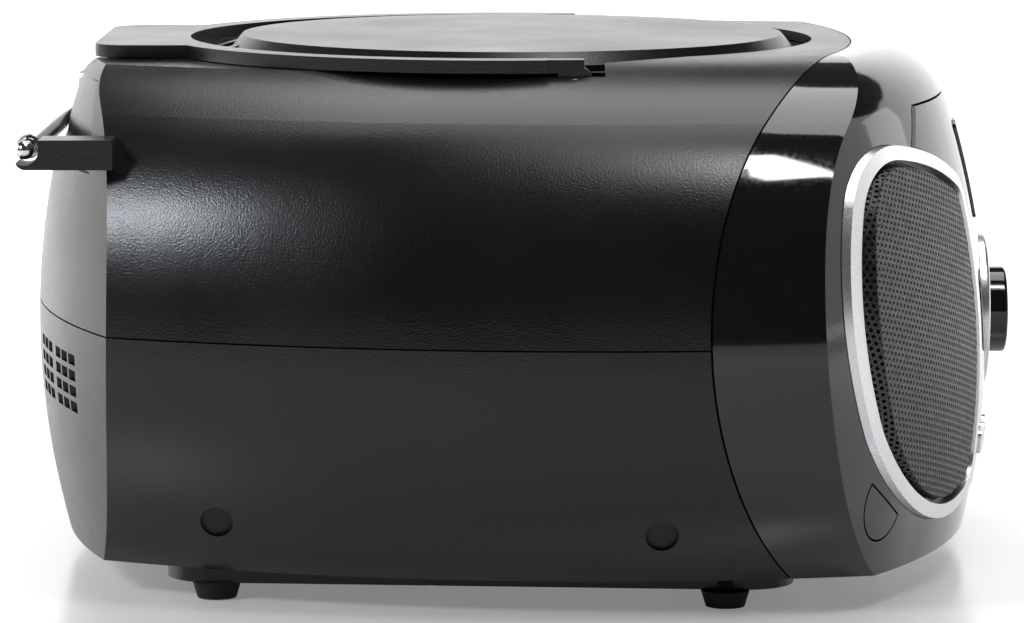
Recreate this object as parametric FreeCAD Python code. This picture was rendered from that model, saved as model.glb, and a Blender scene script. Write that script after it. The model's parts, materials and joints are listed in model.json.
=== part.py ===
import FreeCAD, Part
import math
import os

# Portable CD radio. Millimetres, +X to the right of someone facing the front, +Y to the back,
# +Z up. The pieces are placed about the centre of the disc lid and moved at the end, so that
# the origin is under the middle of the whole object, on the table.

V = FreeCAD.Vector

# Body outline: four barrel surfaces about upright axes, a flat base and a flat top
HALF_WIDTH = 129.5
SIDE_BOW = 300.0
SIDE_WIDEST_Y = -22.0
FRONT_REACH = 122.7
FRONT_BOW = 187.0
BACK_REACH = 122.6
BACK_BOW = 230.0
CASE_BOTTOM = 8.0
CASE_TOP = 131.2
WALL = 2.4
SEAM_GAP = 0.4
LIP_CLEARANCE = 0.15
LIP_THICKNESS = 1.4
LIP_HEIGHT = 3.0
CASE_SEAM_Z = 66.7

# Curvature of the flanks: draw-in at one span above or below the widest height
CURVE_SPAN = 60.0
SIDE_WIDEST_Z = 62.0
SIDE_CURVE = 19.9
SIDE_SHOULDER = 9.3
SIDE_SHOULDER_Z = 118.0
FRONT_WIDEST_Z = 51.4
FRONT_CURVE = 8.85
FRONT_SHOULDER_Z = 117.0
BACK_WIDEST_Z = 60.4
BACK_CURVE = 9.25
BACK_SHOULDER_Z = 121.0

# The roll at the top ends a little short of level
TOP_FALL = 2.5
ROLL_END_DROP = 0.1
BARREL_OVERRUN = 3.0

# Seam of the front cabinet: an upright drum that leans back a little
CABINET_SEAM_RADIUS = 205.0
CABINET_SEAM_Y = -91.6
CABINET_SEAM_LEAN = 4.0

# Pedestal and feet
PEDESTAL_Z = 4.0
PEDESTAL_FRONT_Y = -69.0
PEDESTAL_BACK_Y = 85.0
PEDESTAL_FRONT_HALF = 99.0
PEDESTAL_BACK_HALF = 88.0
PEDESTAL_CORNER = 12.0
FOOT_RADIUS = 6.0
FOOT_TIP_RADIUS = 4.8
FRONT_FOOT = (97.0, -51.8)
REAR_FOOT = (85.6, 72.4)
FOOT_STUD_RADIUS = 2.0

# Disc lid, recess and deck
LID_RADIUS = 72.6
LID_TOP_Z = 132.6
LID_BEVEL_RUN = 2.6
LID_BEVEL_DROP = 3.2
LID_RIM_Z = 127.8
LID_SKIN = 2.0
LID_HINGE_Y = 78.4
LID_HINGE_Z = 124.6
LID_ARM_X = 12.0
LID_ARM_WIDTH = 8.0
LID_ARM_REACH = 12.0
LID_KNUCKLE_RADIUS = 3.4
HINGE_BOSS_SIDE = 4.0
HINGE_BOSS_TOP_Z = 127.0
HINGE_BOSS_FRONT = 6.0
HINGE_BOSS_BACK = 4.6
LATCH_HALF = 4.3
RECESS_RADIUS = 80.3
RECESS_Y = 2.5
SEAT_RADIUS = 77.0
COLLAR_WALL = 2.0
DECK_RIM_Z = 126.8
DECK_CLEARANCE = 0.3
DECK_SKIN = 2.0
WELL_RADIUS = 63.0
WELL_FLOOR_Z = 116.0
SPINDLE_HOLE_RADIUS = 19.0
LASER_SLOT_WIDTH = 16.0
LASER_SLOT_REACH = 56.0

# Disc mechanism, hung under the deck on rubber dampers
CHASSIS_Z = 108.0
CHASSIS_THICKNESS = 1.6
CHASSIS_X = 40.0
CHASSIS_Y = (-64.0, 30.0)
DAMPER_PLACES = ((-34.0, 24.0), (34.0, 24.0), (-34.0, -56.0), (34.0, -56.0))
DAMPER_RADIUS = 5.0
SPINDLE_RADIUS = 1.0
HUB_RADIUS = 14.0
HUB_Z = 117.2
SLED_Y = (-44.0, -20.0)
SLED_TRAVEL = 18.0
SLED_HALF = 14.0
SLED_Z = (103.0, 107.4)
GUIDE_X = 20.0
GUIDE_Z = 105.2
GUIDE_RADIUS = 1.5
GUIDE_Y = (-64.0, -14.5)
GEAR_TEETH = 18
GEAR_MODULE = 1.0
GEAR_Z = (103.6, 105.6)
RACK_X = -18.0
GEAR_Y = -40.0

# Handle: a band round the recess with a wide grip at the back
HANDLE_TOP_Z = 131.9
HANDLE_THICKNESS = 3.2
LEDGE_GAP = 0.3
HANDLE_CLEARANCE = 0.6
HANDLE_OUTER_RADIUS = 88.5
GRIP_HALF = 38.0
GRIP_BACK_Y = 106.5
GRIP_CORNER = 9.0
PIVOT_Y = -15.2
PIVOT_Z = 126.0
KNUCKLE_RADIUS = 4.6
KNUCKLE_WIDTH = 5.4
PIN_RADIUS = 1.5
PIN_SEAT = 1.6
RUNNING_FIT = 0.05
HANDLE_POCKET_Y = -22.6
FINGER_SLOT_DEPTH = 3.4

# Speakers on the front. The ring's outline has four flanks, each an arc given by its centre
# (x, z) and its radius: outer side, top, inner side and bottom. An arc rounds each corner.
RING_FLANKS = ((-56.3, 69.6, 62.5), (-104.5, -18.5, 130.9), (-541.6, 55.5, 497.0),
               (-68.5, 68.3, 51.1))
RING_CORNERS = (23.8, 8.5, 11.0, 19.8)
RING_WIDTH = 3.5
RING_PROUD = 1.5
RING_DEPTH = 2.0
RIM_WIDTH = 3.0
GRILLE_BOW = 250.0
GRILLE_X = (-115.0, -50.0)
GRILLE_PROUD = (5.0, 1.5)
GRILLE_SKIN = 1.2
GRILLE_SLACK = 0.15
SPEAKER_X = 81.0
SPEAKER_Y = -88.0
SPEAKER_Z = 63.0
SPEAKER_RADIUS = 35.0
SPEAKER_TURN = 26.0
SPEAKER_DEPTH = 22.0
BAFFLE_HOLE_RADIUS = 32.0
BAFFLE_THICKNESS = 2.5
MAGNET_RADIUS = 22.0
MAGNET_DEPTH = 11.0

# Centre panel with display, keys and knob
PANEL_TOP_Z = 119.3
PANEL_TOP_HALF = 66.0
PANEL_SHOULDER = (77.0, 107.5)
PANEL_WAIST = (62.0, 60.0)
PANEL_BOTTOM_HALF = 48.0
PANEL_BOTTOM_Z = 19.0
PANEL_PROUD = 0.5
PANEL_DEPTH = 1.9
PANEL_GAP = 0.35
WINDOW_HALF = 27.0
WINDOW_LOW_Z = 87.0
WINDOW_HIGH_Z = 112.0
WINDOW_PROUD = 1.0
KNOB_Z = 60.0
KNOB_RADIUS = 11.2
KNOB_FACE_Y = -129.0
KNOB_LIFT = 0.8
DIAL_RADIUS = 20.0
DIAL_PROUD = 1.0
DIAL_SEAT = 1.2
SHAFT_RADIUS = 3.0
KEY_TRAVEL = 1.0
KEY_PROUD = 1.6
KEY_GAP = 0.35
KEY_SIZE = (10.0, 6.0)
KEY_X = (6.5, 19.5, 32.5)
KEY_Z = 30.5
KEY_BOARD_DEPTH = 13.0
KEY_SCREW_X = 26.0

# Jack cover on the fascia
COVER_X = -104.9
COVER_Z = 22.8
COVER_LENGTH = 17.2
COVER_HEIGHT = 9.8
COVER_TURN = 33.0
COVER_SKIN = 1.4
COVER_GAP = 0.5
COVER_CUP_DEPTH = 6.0
COVER_CUP_WALL = 1.6
JACK_RADIUS = 1.8

# Aerial along the back
ROD_Y = 117.3
ROD_Z = 110.8
ROD_PIVOT_X = 84.0
ROD_TONGUE = 6.4
ROD_TIP_X = -94.0
ROD_RADII = (3.0, 2.45, 1.9, 1.35)
TUBE_FIT = 0.1
BALL_RADIUS = 2.3
TUBE_STEP = 4.0
TUBE_PROUD = 2.5
HOLDER_X = (-97.0, -85.0)
HOLDER_Z = (106.2, 113.4)
HOLDER_BACK_Y = 119.4
BACK_POCKET = ((-62.0, 125.0), (-80.0, 107.0), (-80.0, 103.5))
BACK_POCKET_DEPTH = 1.2
SWIVEL_RADIUS = 5.0
SWIVEL_FRONT_Y = 112.4
SWIVEL_BACK_Y = 120.3
SWIVEL_STUD_RADIUS = 2.2
TONGUE_HALF = 1.0
TONGUE_RADIUS = 2.5

# Ventilation slots, mains inlet and battery bay
VENT_ROWS = 4
VENT_PITCH = 3.9
VENT_HEIGHT = 2.6
VENT_LOW_Z = 45.0
VENT_CELLS = 3
VENT_CELL_WIDTH = 5.6
VENT_RIB = 1.2
VENT_COLUMNS = (-83.5, -60.0, 41.0, 64.5)
INLET_X = 45.0
INLET_Z = 30.0
INLET_SIZE = (19.0, 11.0)
BAY_HALF = 72.0
BAY_FRONT_Y = -30.0
BAY_BACK_Y = 44.0
BAY_TOP_Z = 44.0
BAY_WALL = 2.0
DOOR_THICKNESS = 2.2
DOOR_CLEARANCE = 0.4
DOOR_TRAVEL = 12.0
DOOR_RAIL = 2.5

# Screws and boards
SCREW_RADIUS = 1.6
SCREW_HEAD_RADIUS = 3.4
SCREW_BITE = 1.2
BOARD_THICKNESS = 1.6
BOARD_LIFT = 6.0

# Side screw places
SIDE_HOLE_RADIUS = 4.0
SIDE_HOLE_DEPTH = 5.0
SIDE_HOLES = ((-35.7, 21.0), (71.2, 21.8))


# Further than any part of the body, for cutting blocks
FAR = 200.0


def box(x0, x1, y0, y1, z0, z1):
    return Part.makeBox(x1 - x0, y1 - y0, z1 - z0, V(x0, y0, z0))


def rod(radius, start, end):
    """A round bar from one point to another."""
    run = V(*end) - V(*start)
    return Part.makeCylinder(radius, run.Length, V(*start), run)


def ring(outer, inner, start, end):
    return rod(outer, start, end).cut(rod(inner, start, end))


def mirrored(shape):
    """The same piece on the other side of the body."""
    return shape.mirror(V(0, 0, 0), V(1, 0, 0))


def joined(shapes):
    first, rest = shapes[0], shapes[1:]
    return first.fuse(rest).removeSplitter() if rest else first


def outline(points):
    """A closed flat face through points."""
    corners = [V(*p) for p in points]
    return Part.Face(Part.makePolygon(corners + corners[:1]))


def plate_xz(points, y0, y1):
    """A straight-sided block between two Y places with its outline in X and Z."""
    return outline([(x, y0, z) for x, z in points]).extrude(V(0, y1 - y0, 0))


def plate_xy(points, z0, z1):
    return outline([(x, y, z0) for x, y in points]).extrude(V(0, 0, z1 - z0))


def rounded_upright(shape, radius):
    """Rounds the upright edges of a block."""
    edges = [e for e in shape.Edges
             if abs(e.tangentAt(e.FirstParameter).z) > 0.99]
    return shape.makeFillet(radius, edges)


# The body's surfaces
def side_draw_in(z):
    t = (z - SIDE_WIDEST_Z) / CURVE_SPAN
    return SIDE_CURVE * t ** 2 + SIDE_SHOULDER * t ** 6


def front_draw_in(z):
    return FRONT_CURVE * ((z - FRONT_WIDEST_Z) / CURVE_SPAN) ** 2


def back_draw_in(z):
    return BACK_CURVE * ((z - BACK_WIDEST_Z) / CURVE_SPAN) ** 2


def barrel(bow, draw_in, shoulder_z, wall, centre):
    """One flank turned about an upright axis and rolled over almost to level at the top.

    It reaches past the body's base and top, which are cut flat afterwards.
    """
    bottom = CASE_BOTTOM + wall
    top = CASE_TOP - wall
    squeeze = (top - bottom) / (CASE_TOP - CASE_BOTTOM)
    low_z = CASE_BOTTOM - BARREL_OVERRUN
    steps = 8
    flank_points = []
    for i in range(steps + 1):
        z = low_z + (shoulder_z - low_z) * i / steps
        flank_points.append(V(bow - wall - draw_in(z), 0, bottom + (z - CASE_BOTTOM) * squeeze))
    flank = Part.BSplineCurve()
    flank.interpolate(flank_points)
    start = flank_points[-1]
    lean = flank.tangent(flank.LastParameter)[0]
    angle = math.atan2(lean.z, -lean.x)
    rest = math.radians(TOP_FALL)
    roll = (top - ROLL_END_DROP - start.z) / (math.cos(rest) - math.cos(angle))
    hub = start - V(roll * math.sin(angle), 0, roll * math.cos(angle))
    half = (angle + rest) / 2
    middle = hub + V(roll * math.sin(half), 0, roll * math.cos(half))
    end = hub + V(roll * math.sin(rest), 0, roll * math.cos(rest))
    peak = V(0, 0, end.z + end.x * math.tan(rest))
    foot = V(0, 0, flank_points[0].z)
    edges = [flank.toShape(),
             Part.Arc(start, middle, end).toShape(),
             Part.makeLine(end, peak),
             Part.makeLine(peak, foot),
             Part.makeLine(foot, flank_points[0])]
    turned = Part.Face(Part.Wire(edges)).revolve(V(0, 0, 0), V(0, 0, 1), 360)
    turned.translate(V(centre[0], centre[1], 0))
    return turned


def front_barrel(wall):
    return barrel(FRONT_BOW, front_draw_in, FRONT_SHOULDER_Z, wall, (0, FRONT_BOW - FRONT_REACH))


def back_barrel(wall):
    return barrel(BACK_BOW, back_draw_in, BACK_SHOULDER_Z, wall, (0, BACK_REACH - BACK_BOW))


def side_barrel(wall):
    return barrel(SIDE_BOW, side_draw_in, SIDE_SHOULDER_Z, wall,
                  (SIDE_BOW - HALF_WIDTH, SIDE_WIDEST_Y))


def body(wall):
    """The whole body drawn in by a wall, as a solid."""
    left = side_barrel(wall)
    sides = left.common(mirrored(left))
    ends = front_barrel(wall).common(back_barrel(wall))
    slab = box(-FAR, FAR, -FAR, FAR, CASE_BOTTOM + wall, CASE_TOP - wall)
    return sides.common(slab).common(ends)


def seam_drum(shift):
    """Everything behind the front cabinet's seam."""
    height = 4 * CASE_TOP
    radius = CABINET_SEAM_RADIUS + shift
    centre_y = CABINET_SEAM_Y + CABINET_SEAM_RADIUS
    drum = Part.makeCylinder(radius, height, V(0, centre_y, CASE_SEAM_Z - height / 2))
    drum.rotate(V(0, centre_y, CASE_SEAM_Z), V(1, 0, 0), -CABINET_SEAM_LEAN)
    return drum


def front_y(x, z):
    """Where the fascia lies at a place across and up."""
    bow = FRONT_BOW - front_draw_in(z)
    return FRONT_BOW - FRONT_REACH - math.sqrt(bow ** 2 - x ** 2)


def back_y(x, z):
    bow = BACK_BOW - back_draw_in(z)
    return BACK_REACH - BACK_BOW + math.sqrt(bow ** 2 - x ** 2)


def side_x(y, z):
    bow = SIDE_BOW - side_draw_in(z)
    return math.sqrt(bow ** 2 - (y - SIDE_WIDEST_Y) ** 2) - SIDE_BOW + HALF_WIDTH


OUTER = body(0)
INNER = body(WALL)
SKIN = OUTER.cut(INNER)
LIP_BAND = body(WALL + LIP_CLEARANCE).cut(body(WALL + LIP_CLEARANCE + LIP_THICKNESS))
LEDGE_Z = HANDLE_TOP_Z - HANDLE_THICKNESS - LEDGE_GAP
SEAT_DEPTH = PANEL_DEPTH + PANEL_PROUD


def arc(centre, radius, first, last):
    """An arc about a centre from one direction to another."""
    middle = (first + last).normalize()
    ends = [centre + way * radius for way in (first, middle, last)]
    return Part.Arc(*ends).toShape()


def corner_hub(first, second, corner):
    """Centre of the arc that rounds the corner where one flank of the ring meets the next."""
    start = V(first[0], 0, first[1])
    way = V(second[0], 0, second[1]) - start
    span = way.Length
    way.normalize()
    reach, other = first[2] - corner, second[2] - corner
    along = (reach ** 2 - other ** 2 + span ** 2) / (2 * span)
    across = math.sqrt(reach ** 2 - along ** 2)
    return start + way * along + V(way.z, 0, -way.x) * across


def ring_block(grow, y0, y1):
    """A block whose outline is the left speaker ring's, grown or shrunk evenly."""
    count = len(RING_FLANKS)
    centres = [V(x, 0, z) for x, z, radius in RING_FLANKS]
    hubs = [corner_hub(RING_FLANKS[i], RING_FLANKS[(i + 1) % count], RING_CORNERS[i])
            for i in range(count)]
    edges = []
    for i in range(count):
        start = (hubs[i - 1] - centres[i]).normalize()
        end = (hubs[i] - centres[i]).normalize()
        onward = (hubs[i] - centres[(i + 1) % count]).normalize()
        edges.append(arc(centres[i], RING_FLANKS[i][2] + grow, start, end))
        edges.append(arc(hubs[i], RING_CORNERS[i] + grow, end, onward))
    face = Part.Face(Part.Wire(edges))
    face.translate(V(0, y0, 0))
    return face.extrude(V(0, y1 - y0, 0))


def fascia_layer(proud, depth):
    """A layer that follows the fascia, from proud of it to a depth behind that."""
    front = box(-FAR, FAR, -FAR, 0, 0, CASE_TOP + 1)
    return front_barrel(-proud).cut(front_barrel(depth - proud)).common(front)


def back_layer(proud, depth):
    rear = box(-FAR, FAR, 0, FAR, 0, CASE_TOP + 1)
    return back_barrel(-proud).cut(back_barrel(depth - proud)).common(rear)


# Shapes shared by a piece and its seat
def recess_circle(radius, z0, z1):
    return Part.makeCylinder(radius, z1 - z0, V(0, RECESS_Y, z0))


def handle_plan(grow, z0, z1):
    """The band round the recess and its grip, as a block, grown evenly outwards."""
    band = recess_circle(HANDLE_OUTER_RADIUS + grow, z0, z1)
    grip = box(-GRIP_HALF - grow, GRIP_HALF + grow, 0, GRIP_BACK_Y + grow, z0, z1)
    corners = [e for e in grip.Edges if abs(e.tangentAt(e.FirstParameter).z) > 0.99
               and e.CenterOfMass.y > 1]
    return band.fuse(grip.makeFillet(GRIP_CORNER, corners)).removeSplitter()


def panel_block(gap, y0, y1):
    """Outline of the centre panel, which runs between the two speaker rings."""
    side = [(PANEL_TOP_HALF - gap, PANEL_TOP_Z - gap),
            (PANEL_SHOULDER[0] - gap, PANEL_SHOULDER[1]),
            (PANEL_WAIST[0] - gap, PANEL_WAIST[1]),
            (PANEL_BOTTOM_HALF - gap, PANEL_BOTTOM_Z + gap)]
    points = side + [(-x, z) for x, z in reversed(side)]
    left = ring_block(gap + PANEL_GAP, y0 - 1, y1 + 1)
    return plate_xz(points, y0, y1).cut([left, mirrored(left)])


def place_cover(shape):
    """Puts a piece of the jack cover, built about its own middle, square to the fascia."""
    bow = FRONT_BOW - front_draw_in(COVER_Z)
    shape.rotate(V(0, 0, 0), V(0, 0, 1), math.degrees(math.asin(COVER_X / bow)))
    shape.translate(V(COVER_X, front_y(COVER_X, COVER_Z), COVER_Z))
    return shape


def cover_outline(shrink, y0, y1):
    """D shape of the jack cover: a straight side along the ring and a round side below."""
    half = COVER_LENGTH / 2 - shrink
    straight = COVER_HEIGHT / 2 - shrink
    left = V(-half, y0, straight)
    right = V(half, y0, straight)
    low = V(0, y0, -straight)
    face = Part.Face(Part.Wire([Part.makeLine(right, left), Part.Arc(left, low, right).toShape()]))
    face.rotate(V(0, 0, 0), V(0, 1, 0), COVER_TURN)
    return place_cover(face.extrude(V(0, y1 - y0, 0)))


def key_places():
    """Name and centre of each key in the row below the knob."""
    names = ("power_key", "function_key", "stop_key", "play_key", "repeat_key", "program_key")
    spots = [-x for x in reversed(KEY_X)] + list(KEY_X)
    return list(zip(names, spots))


def key_block(x, grow, y0, y1):
    half, tall = KEY_SIZE[0] / 2 + grow, KEY_SIZE[1] / 2 + grow
    block = box(x - half, x + half, y0, y1, KEY_Z - tall, KEY_Z + tall)
    edges = [e for e in block.Edges if abs(e.tangentAt(e.FirstParameter).y) > 0.99]
    return block.makeFillet(1.5, edges)


def handle_pivot_x():
    """Middle of the handle's knuckles across, just inside the band's outer edge."""
    reach = math.sqrt(HANDLE_OUTER_RADIUS ** 2 - (PIVOT_Y - RECESS_Y) ** 2)
    return reach - KNUCKLE_WIDTH / 2 - 0.4


def pin_half():
    """Half length of a handle pin: through the knuckle and into the case on both sides."""
    return KNUCKLE_WIDTH / 2 + HANDLE_CLEARANCE + PIN_SEAT


# Case pieces
def knuckle_pocket():
    x = handle_pivot_x()
    half = KNUCKLE_WIDTH / 2 + HANDLE_CLEARANCE
    depth = PIVOT_Z - KNUCKLE_RADIUS - 1.2
    back = PIVOT_Y + KNUCKLE_RADIUS + 3.0
    return x - half, x + half, HANDLE_POCKET_Y, back, depth


def upper_case():
    hull = SKIN.common(seam_drum(-SEAM_GAP / 2))
    hull = hull.common(box(-FAR, FAR, -FAR, FAR, CASE_SEAM_Z + SEAM_GAP / 2, CASE_TOP + 1))
    seat_z = DECK_RIM_Z - DECK_SKIN
    collar = recess_circle(RECESS_RADIUS + COLLAR_WALL, seat_z - WALL, LEDGE_Z)
    ledge = box(-FAR, FAR, HANDLE_POCKET_Y - WALL, FAR, LEDGE_Z - WALL, CASE_TOP)
    ledge = ledge.common(body(WALL / 2)).common(seam_drum(-3.0))
    x0, x1, y0, y1, depth = knuckle_pocket()
    added = [collar, ledge]
    cuts = []
    for side in (-1, 1):
        low, high = sorted((side * (x0 - WALL), side * (x1 + WALL)))
        boss = box(low, high, y0 - WALL, y1 + WALL, depth - WALL, LEDGE_Z)
        added.append(boss.common(OUTER))
        low, high = sorted((side * x0, side * x1))
        cuts.append(box(low, high, y0, y1, depth, CASE_TOP + 1))
        middle = side * handle_pivot_x()
        cuts.append(rod(PIN_RADIUS, (middle - pin_half(), PIVOT_Y, PIVOT_Z),
                        (middle + pin_half(), PIVOT_Y, PIVOT_Z)))
    added += [rod(4.0, (x, y, CASE_SEAM_Z - 5), (x, y, LEDGE_Z)).common(body(WALL / 2))
              for x, y in screw_places()]
    cuts += [rod(SCREW_RADIUS, (x, y, 0), (x, y, CASE_SEAM_Z + 10)) for x, y in screw_places()]
    cuts.append(box(-FAR, FAR, HANDLE_POCKET_Y, FAR, LEDGE_Z, CASE_TOP + 1))
    cuts.append(recess_circle(RECESS_RADIUS, seat_z, CASE_TOP + 1))
    cuts.append(recess_circle(SEAT_RADIUS, 0, seat_z))
    cuts.append(latch_block(0.2))
    slot_z = LEDGE_Z - FINGER_SLOT_DEPTH
    slot_half = GRIP_HALF - 6
    trough = box(-slot_half - WALL, slot_half + WALL, GRIP_BACK_Y - 12 - WALL, FAR,
                 slot_z - WALL, LEDGE_Z)
    added.append(trough.common(body(WALL / 2)))
    cuts.append(box(-slot_half, slot_half, GRIP_BACK_Y - 12, FAR, slot_z, CASE_TOP + 1))
    hull = hull.fuse(added).cut(cuts).cut(aerial_seat())
    bosses = [hinge_boss(s, HINGE_BOSS_SIDE, WALL, HINGE_BOSS_TOP_Z) for s in (-1, 1)]
    slots = [hinge_boss(s, HANDLE_CLEARANCE, 0, CASE_TOP) for s in (-1, 1)]
    pins = [lid_pin(s, 0) for s in (-1, 1)]
    return hull.fuse(bosses).cut(slots + pins).removeSplitter()


def hinge_boss(side, margin, drop, top):
    """Block round a lid arm's knuckle, or with a small margin the slot in it."""
    half = LID_ARM_WIDTH / 2 + margin
    low = LID_HINGE_Z - LID_KNUCKLE_RADIUS - HANDLE_CLEARANCE - drop
    return box(side * LID_ARM_X - half, side * LID_ARM_X + half, LID_HINGE_Y - HINGE_BOSS_FRONT,
               LID_HINGE_Y + HINGE_BOSS_BACK, low, top)


def lid_pin(side, slack):
    """A lid hinge pin, or with slack the bore round it."""
    half = LID_ARM_WIDTH / 2 + HINGE_BOSS_SIDE
    middle = side * LID_ARM_X
    return rod(PIN_RADIUS + slack, (middle - half, LID_HINGE_Y, LID_HINGE_Z),
               (middle + half, LID_HINGE_Y, LID_HINGE_Z))


def latch_block(grow):
    """The lid catch, let into the deck's seat at the front."""
    back_y = -LID_RADIUS + 0.6
    return box(-LATCH_HALF - grow, LATCH_HALF + grow, RECESS_Y - RECESS_RADIUS - 1.6 - grow,
               back_y + grow * 10, DECK_RIM_Z - DECK_SKIN - 3.6, DECK_RIM_Z - DECK_SKIN + grow)


def back_pocket():
    """Shallow field in the upper back where the aerial lies."""
    right = [(-x, z) for x, z in reversed(BACK_POCKET)]
    return plate_xz(list(BACK_POCKET) + right, 0, FAR).common(back_layer(1.0, BACK_POCKET_DEPTH + 1.0))


def aerial_seat():
    groove = rod(ROD_RADII[0] + 1.2, (-FAR, ROD_Y, ROD_Z), (FAR, ROD_Y, ROD_Z))
    return back_pocket().fuse(groove.common(box(-FAR, FAR, 0, FAR, 0, CASE_TOP)))


def screw_places():
    """Upright screw bosses inside the case, as (x, y) places."""
    return [(s * x, y) for x, y in ((96.0, 20.0), (70.0, 88.0)) for s in (-1, 1)]


def lower_case():
    hull = SKIN.common(seam_drum(-SEAM_GAP / 2))
    hull = hull.common(box(-FAR, FAR, -FAR, FAR, 0, CASE_SEAM_Z - SEAM_GAP / 2))
    lip = LIP_BAND.common(seam_drum(-SEAM_GAP / 2 - LIP_HEIGHT))
    lip = lip.common(box(-FAR, FAR, -FAR, FAR, CASE_SEAM_Z - LIP_HEIGHT,
                         CASE_SEAM_Z + LIP_HEIGHT))
    under_lip = body(WALL - 0.2).cut(body(WALL + LIP_CLEARANCE + LIP_THICKNESS))
    under_lip = under_lip.common(seam_drum(-SEAM_GAP / 2 - LIP_HEIGHT))
    under_lip = under_lip.common(box(-FAR, FAR, -FAR, FAR, CASE_SEAM_Z - 2 * LIP_HEIGHT,
                                     CASE_SEAM_Z - LIP_HEIGHT + 0.1))
    pedestal = pedestal_block()
    bay = box(-BAY_HALF - BAY_WALL, BAY_HALF + BAY_WALL, BAY_FRONT_Y - BAY_WALL,
              BAY_BACK_Y + BAY_WALL, CASE_BOTTOM, BAY_TOP_Z + BAY_WALL)
    posts = [rod(5.2, (x, y, CASE_BOTTOM), (x, y, CASE_SEAM_Z - 5.2)) for x, y in screw_places()]
    posts += [rod(3.2, (x, y, BAY_TOP_Z), (x, y, board_z())) for x, y in board_places()]
    cups = []
    cup_holes = []
    for y, z in SIDE_HOLES:
        x = side_x(y, z)
        for s in (-1, 1):
            inner_x = s * (x - SIDE_HOLE_DEPTH)
            cups.append(rod(SIDE_HOLE_RADIUS + 1.4, (inner_x - s * 1.6, y, z), (s * x, y, z)))
            cup_holes.append(rod(SIDE_HOLE_RADIUS, (inner_x, y, z), (s * (x + 5), y, z)))
    cups = [c.common(OUTER) for c in cups]
    hull = hull.fuse([lip, under_lip, pedestal, bay] + posts + cups)
    cavity = box(-BAY_HALF, BAY_HALF, BAY_FRONT_Y, BAY_BACK_Y, PEDESTAL_Z - 1, BAY_TOP_Z)
    door_seat = door_block(DOOR_CLEARANCE, DOOR_TRAVEL)
    bores = [rod(SCREW_RADIUS, (x, y, 0), (x, y, CASE_SEAM_Z)) for x, y in screw_places()]
    heads = [rod(SCREW_HEAD_RADIUS + 0.2, (x, y, 0), (x, y, CASE_BOTTOM + 4))
             for x, y in screw_places()]
    bores += [rod(SCREW_RADIUS, (x, y, BAY_TOP_Z + BAY_WALL + 1), (x, y, board_z()))
              for x, y in board_places()]
    studs = [rod(FOOT_STUD_RADIUS, (x, y, PEDESTAL_Z - 1), (x, y, CASE_BOTTOM))
             for x, y in foot_places()]
    hull = hull.cut([cavity, door_seat] + bores + heads + studs + cup_holes)
    return hull.cut(vent_cells() + [inlet_hole()]).removeSplitter()


def pedestal_block():
    points = [(-PEDESTAL_FRONT_HALF, PEDESTAL_FRONT_Y), (PEDESTAL_FRONT_HALF, PEDESTAL_FRONT_Y),
              (PEDESTAL_BACK_HALF, PEDESTAL_BACK_Y), (-PEDESTAL_BACK_HALF, PEDESTAL_BACK_Y)]
    block = plate_xy(points, PEDESTAL_Z, CASE_BOTTOM + 1)
    block = rounded_upright(block, PEDESTAL_CORNER)
    return block.common(seam_drum(-1.0))


def foot_places():
    return [(s * x, y) for x, y in (FRONT_FOOT, REAR_FOOT) for s in (-1, 1)]


def vent_cells():
    """Slots through the back wall, in rows, each row split by thin ribs."""
    cells = []
    for column in VENT_COLUMNS:
        for row in range(VENT_ROWS):
            z = VENT_LOW_Z + row * VENT_PITCH
            for i in range(VENT_CELLS):
                x = column + i * (VENT_CELL_WIDTH + VENT_RIB)
                cells.append(box(x, x + VENT_CELL_WIDTH, 80, FAR, z, z + VENT_HEIGHT))
    return cells


def inlet_hole():
    half, tall = INLET_SIZE[0] / 2, INLET_SIZE[1] / 2
    return box(INLET_X - half, INLET_X + half, 80, FAR, INLET_Z - tall, INLET_Z + tall)


def door_block(gap, run_on):
    """The battery door with its side rails, or with a gap its seat in the underside."""
    half = BAY_HALF + 3
    low = PEDESTAL_Z - (1 if gap else 0)
    top = PEDESTAL_Z + DOOR_THICKNESS + gap
    leaf = box(-half - gap, half + gap, BAY_FRONT_Y - 3 - gap, BAY_BACK_Y + 3 + gap + run_on,
               low, top)
    rails = box(-half - DOOR_RAIL - gap, half + DOOR_RAIL + gap, BAY_FRONT_Y + 10 - gap,
                BAY_BACK_Y - 12 + gap + run_on, top - 1.0 - 2 * gap, top)
    return leaf.fuse(rails).removeSplitter()


def board_z():
    """Underside of the main board."""
    return BAY_TOP_Z + BAY_WALL + BOARD_LIFT


def board_places():
    return [(s * 62.0, y) for y in (BAY_FRONT_Y + 6, BAY_BACK_Y - 6) for s in (-1, 1)]


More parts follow.
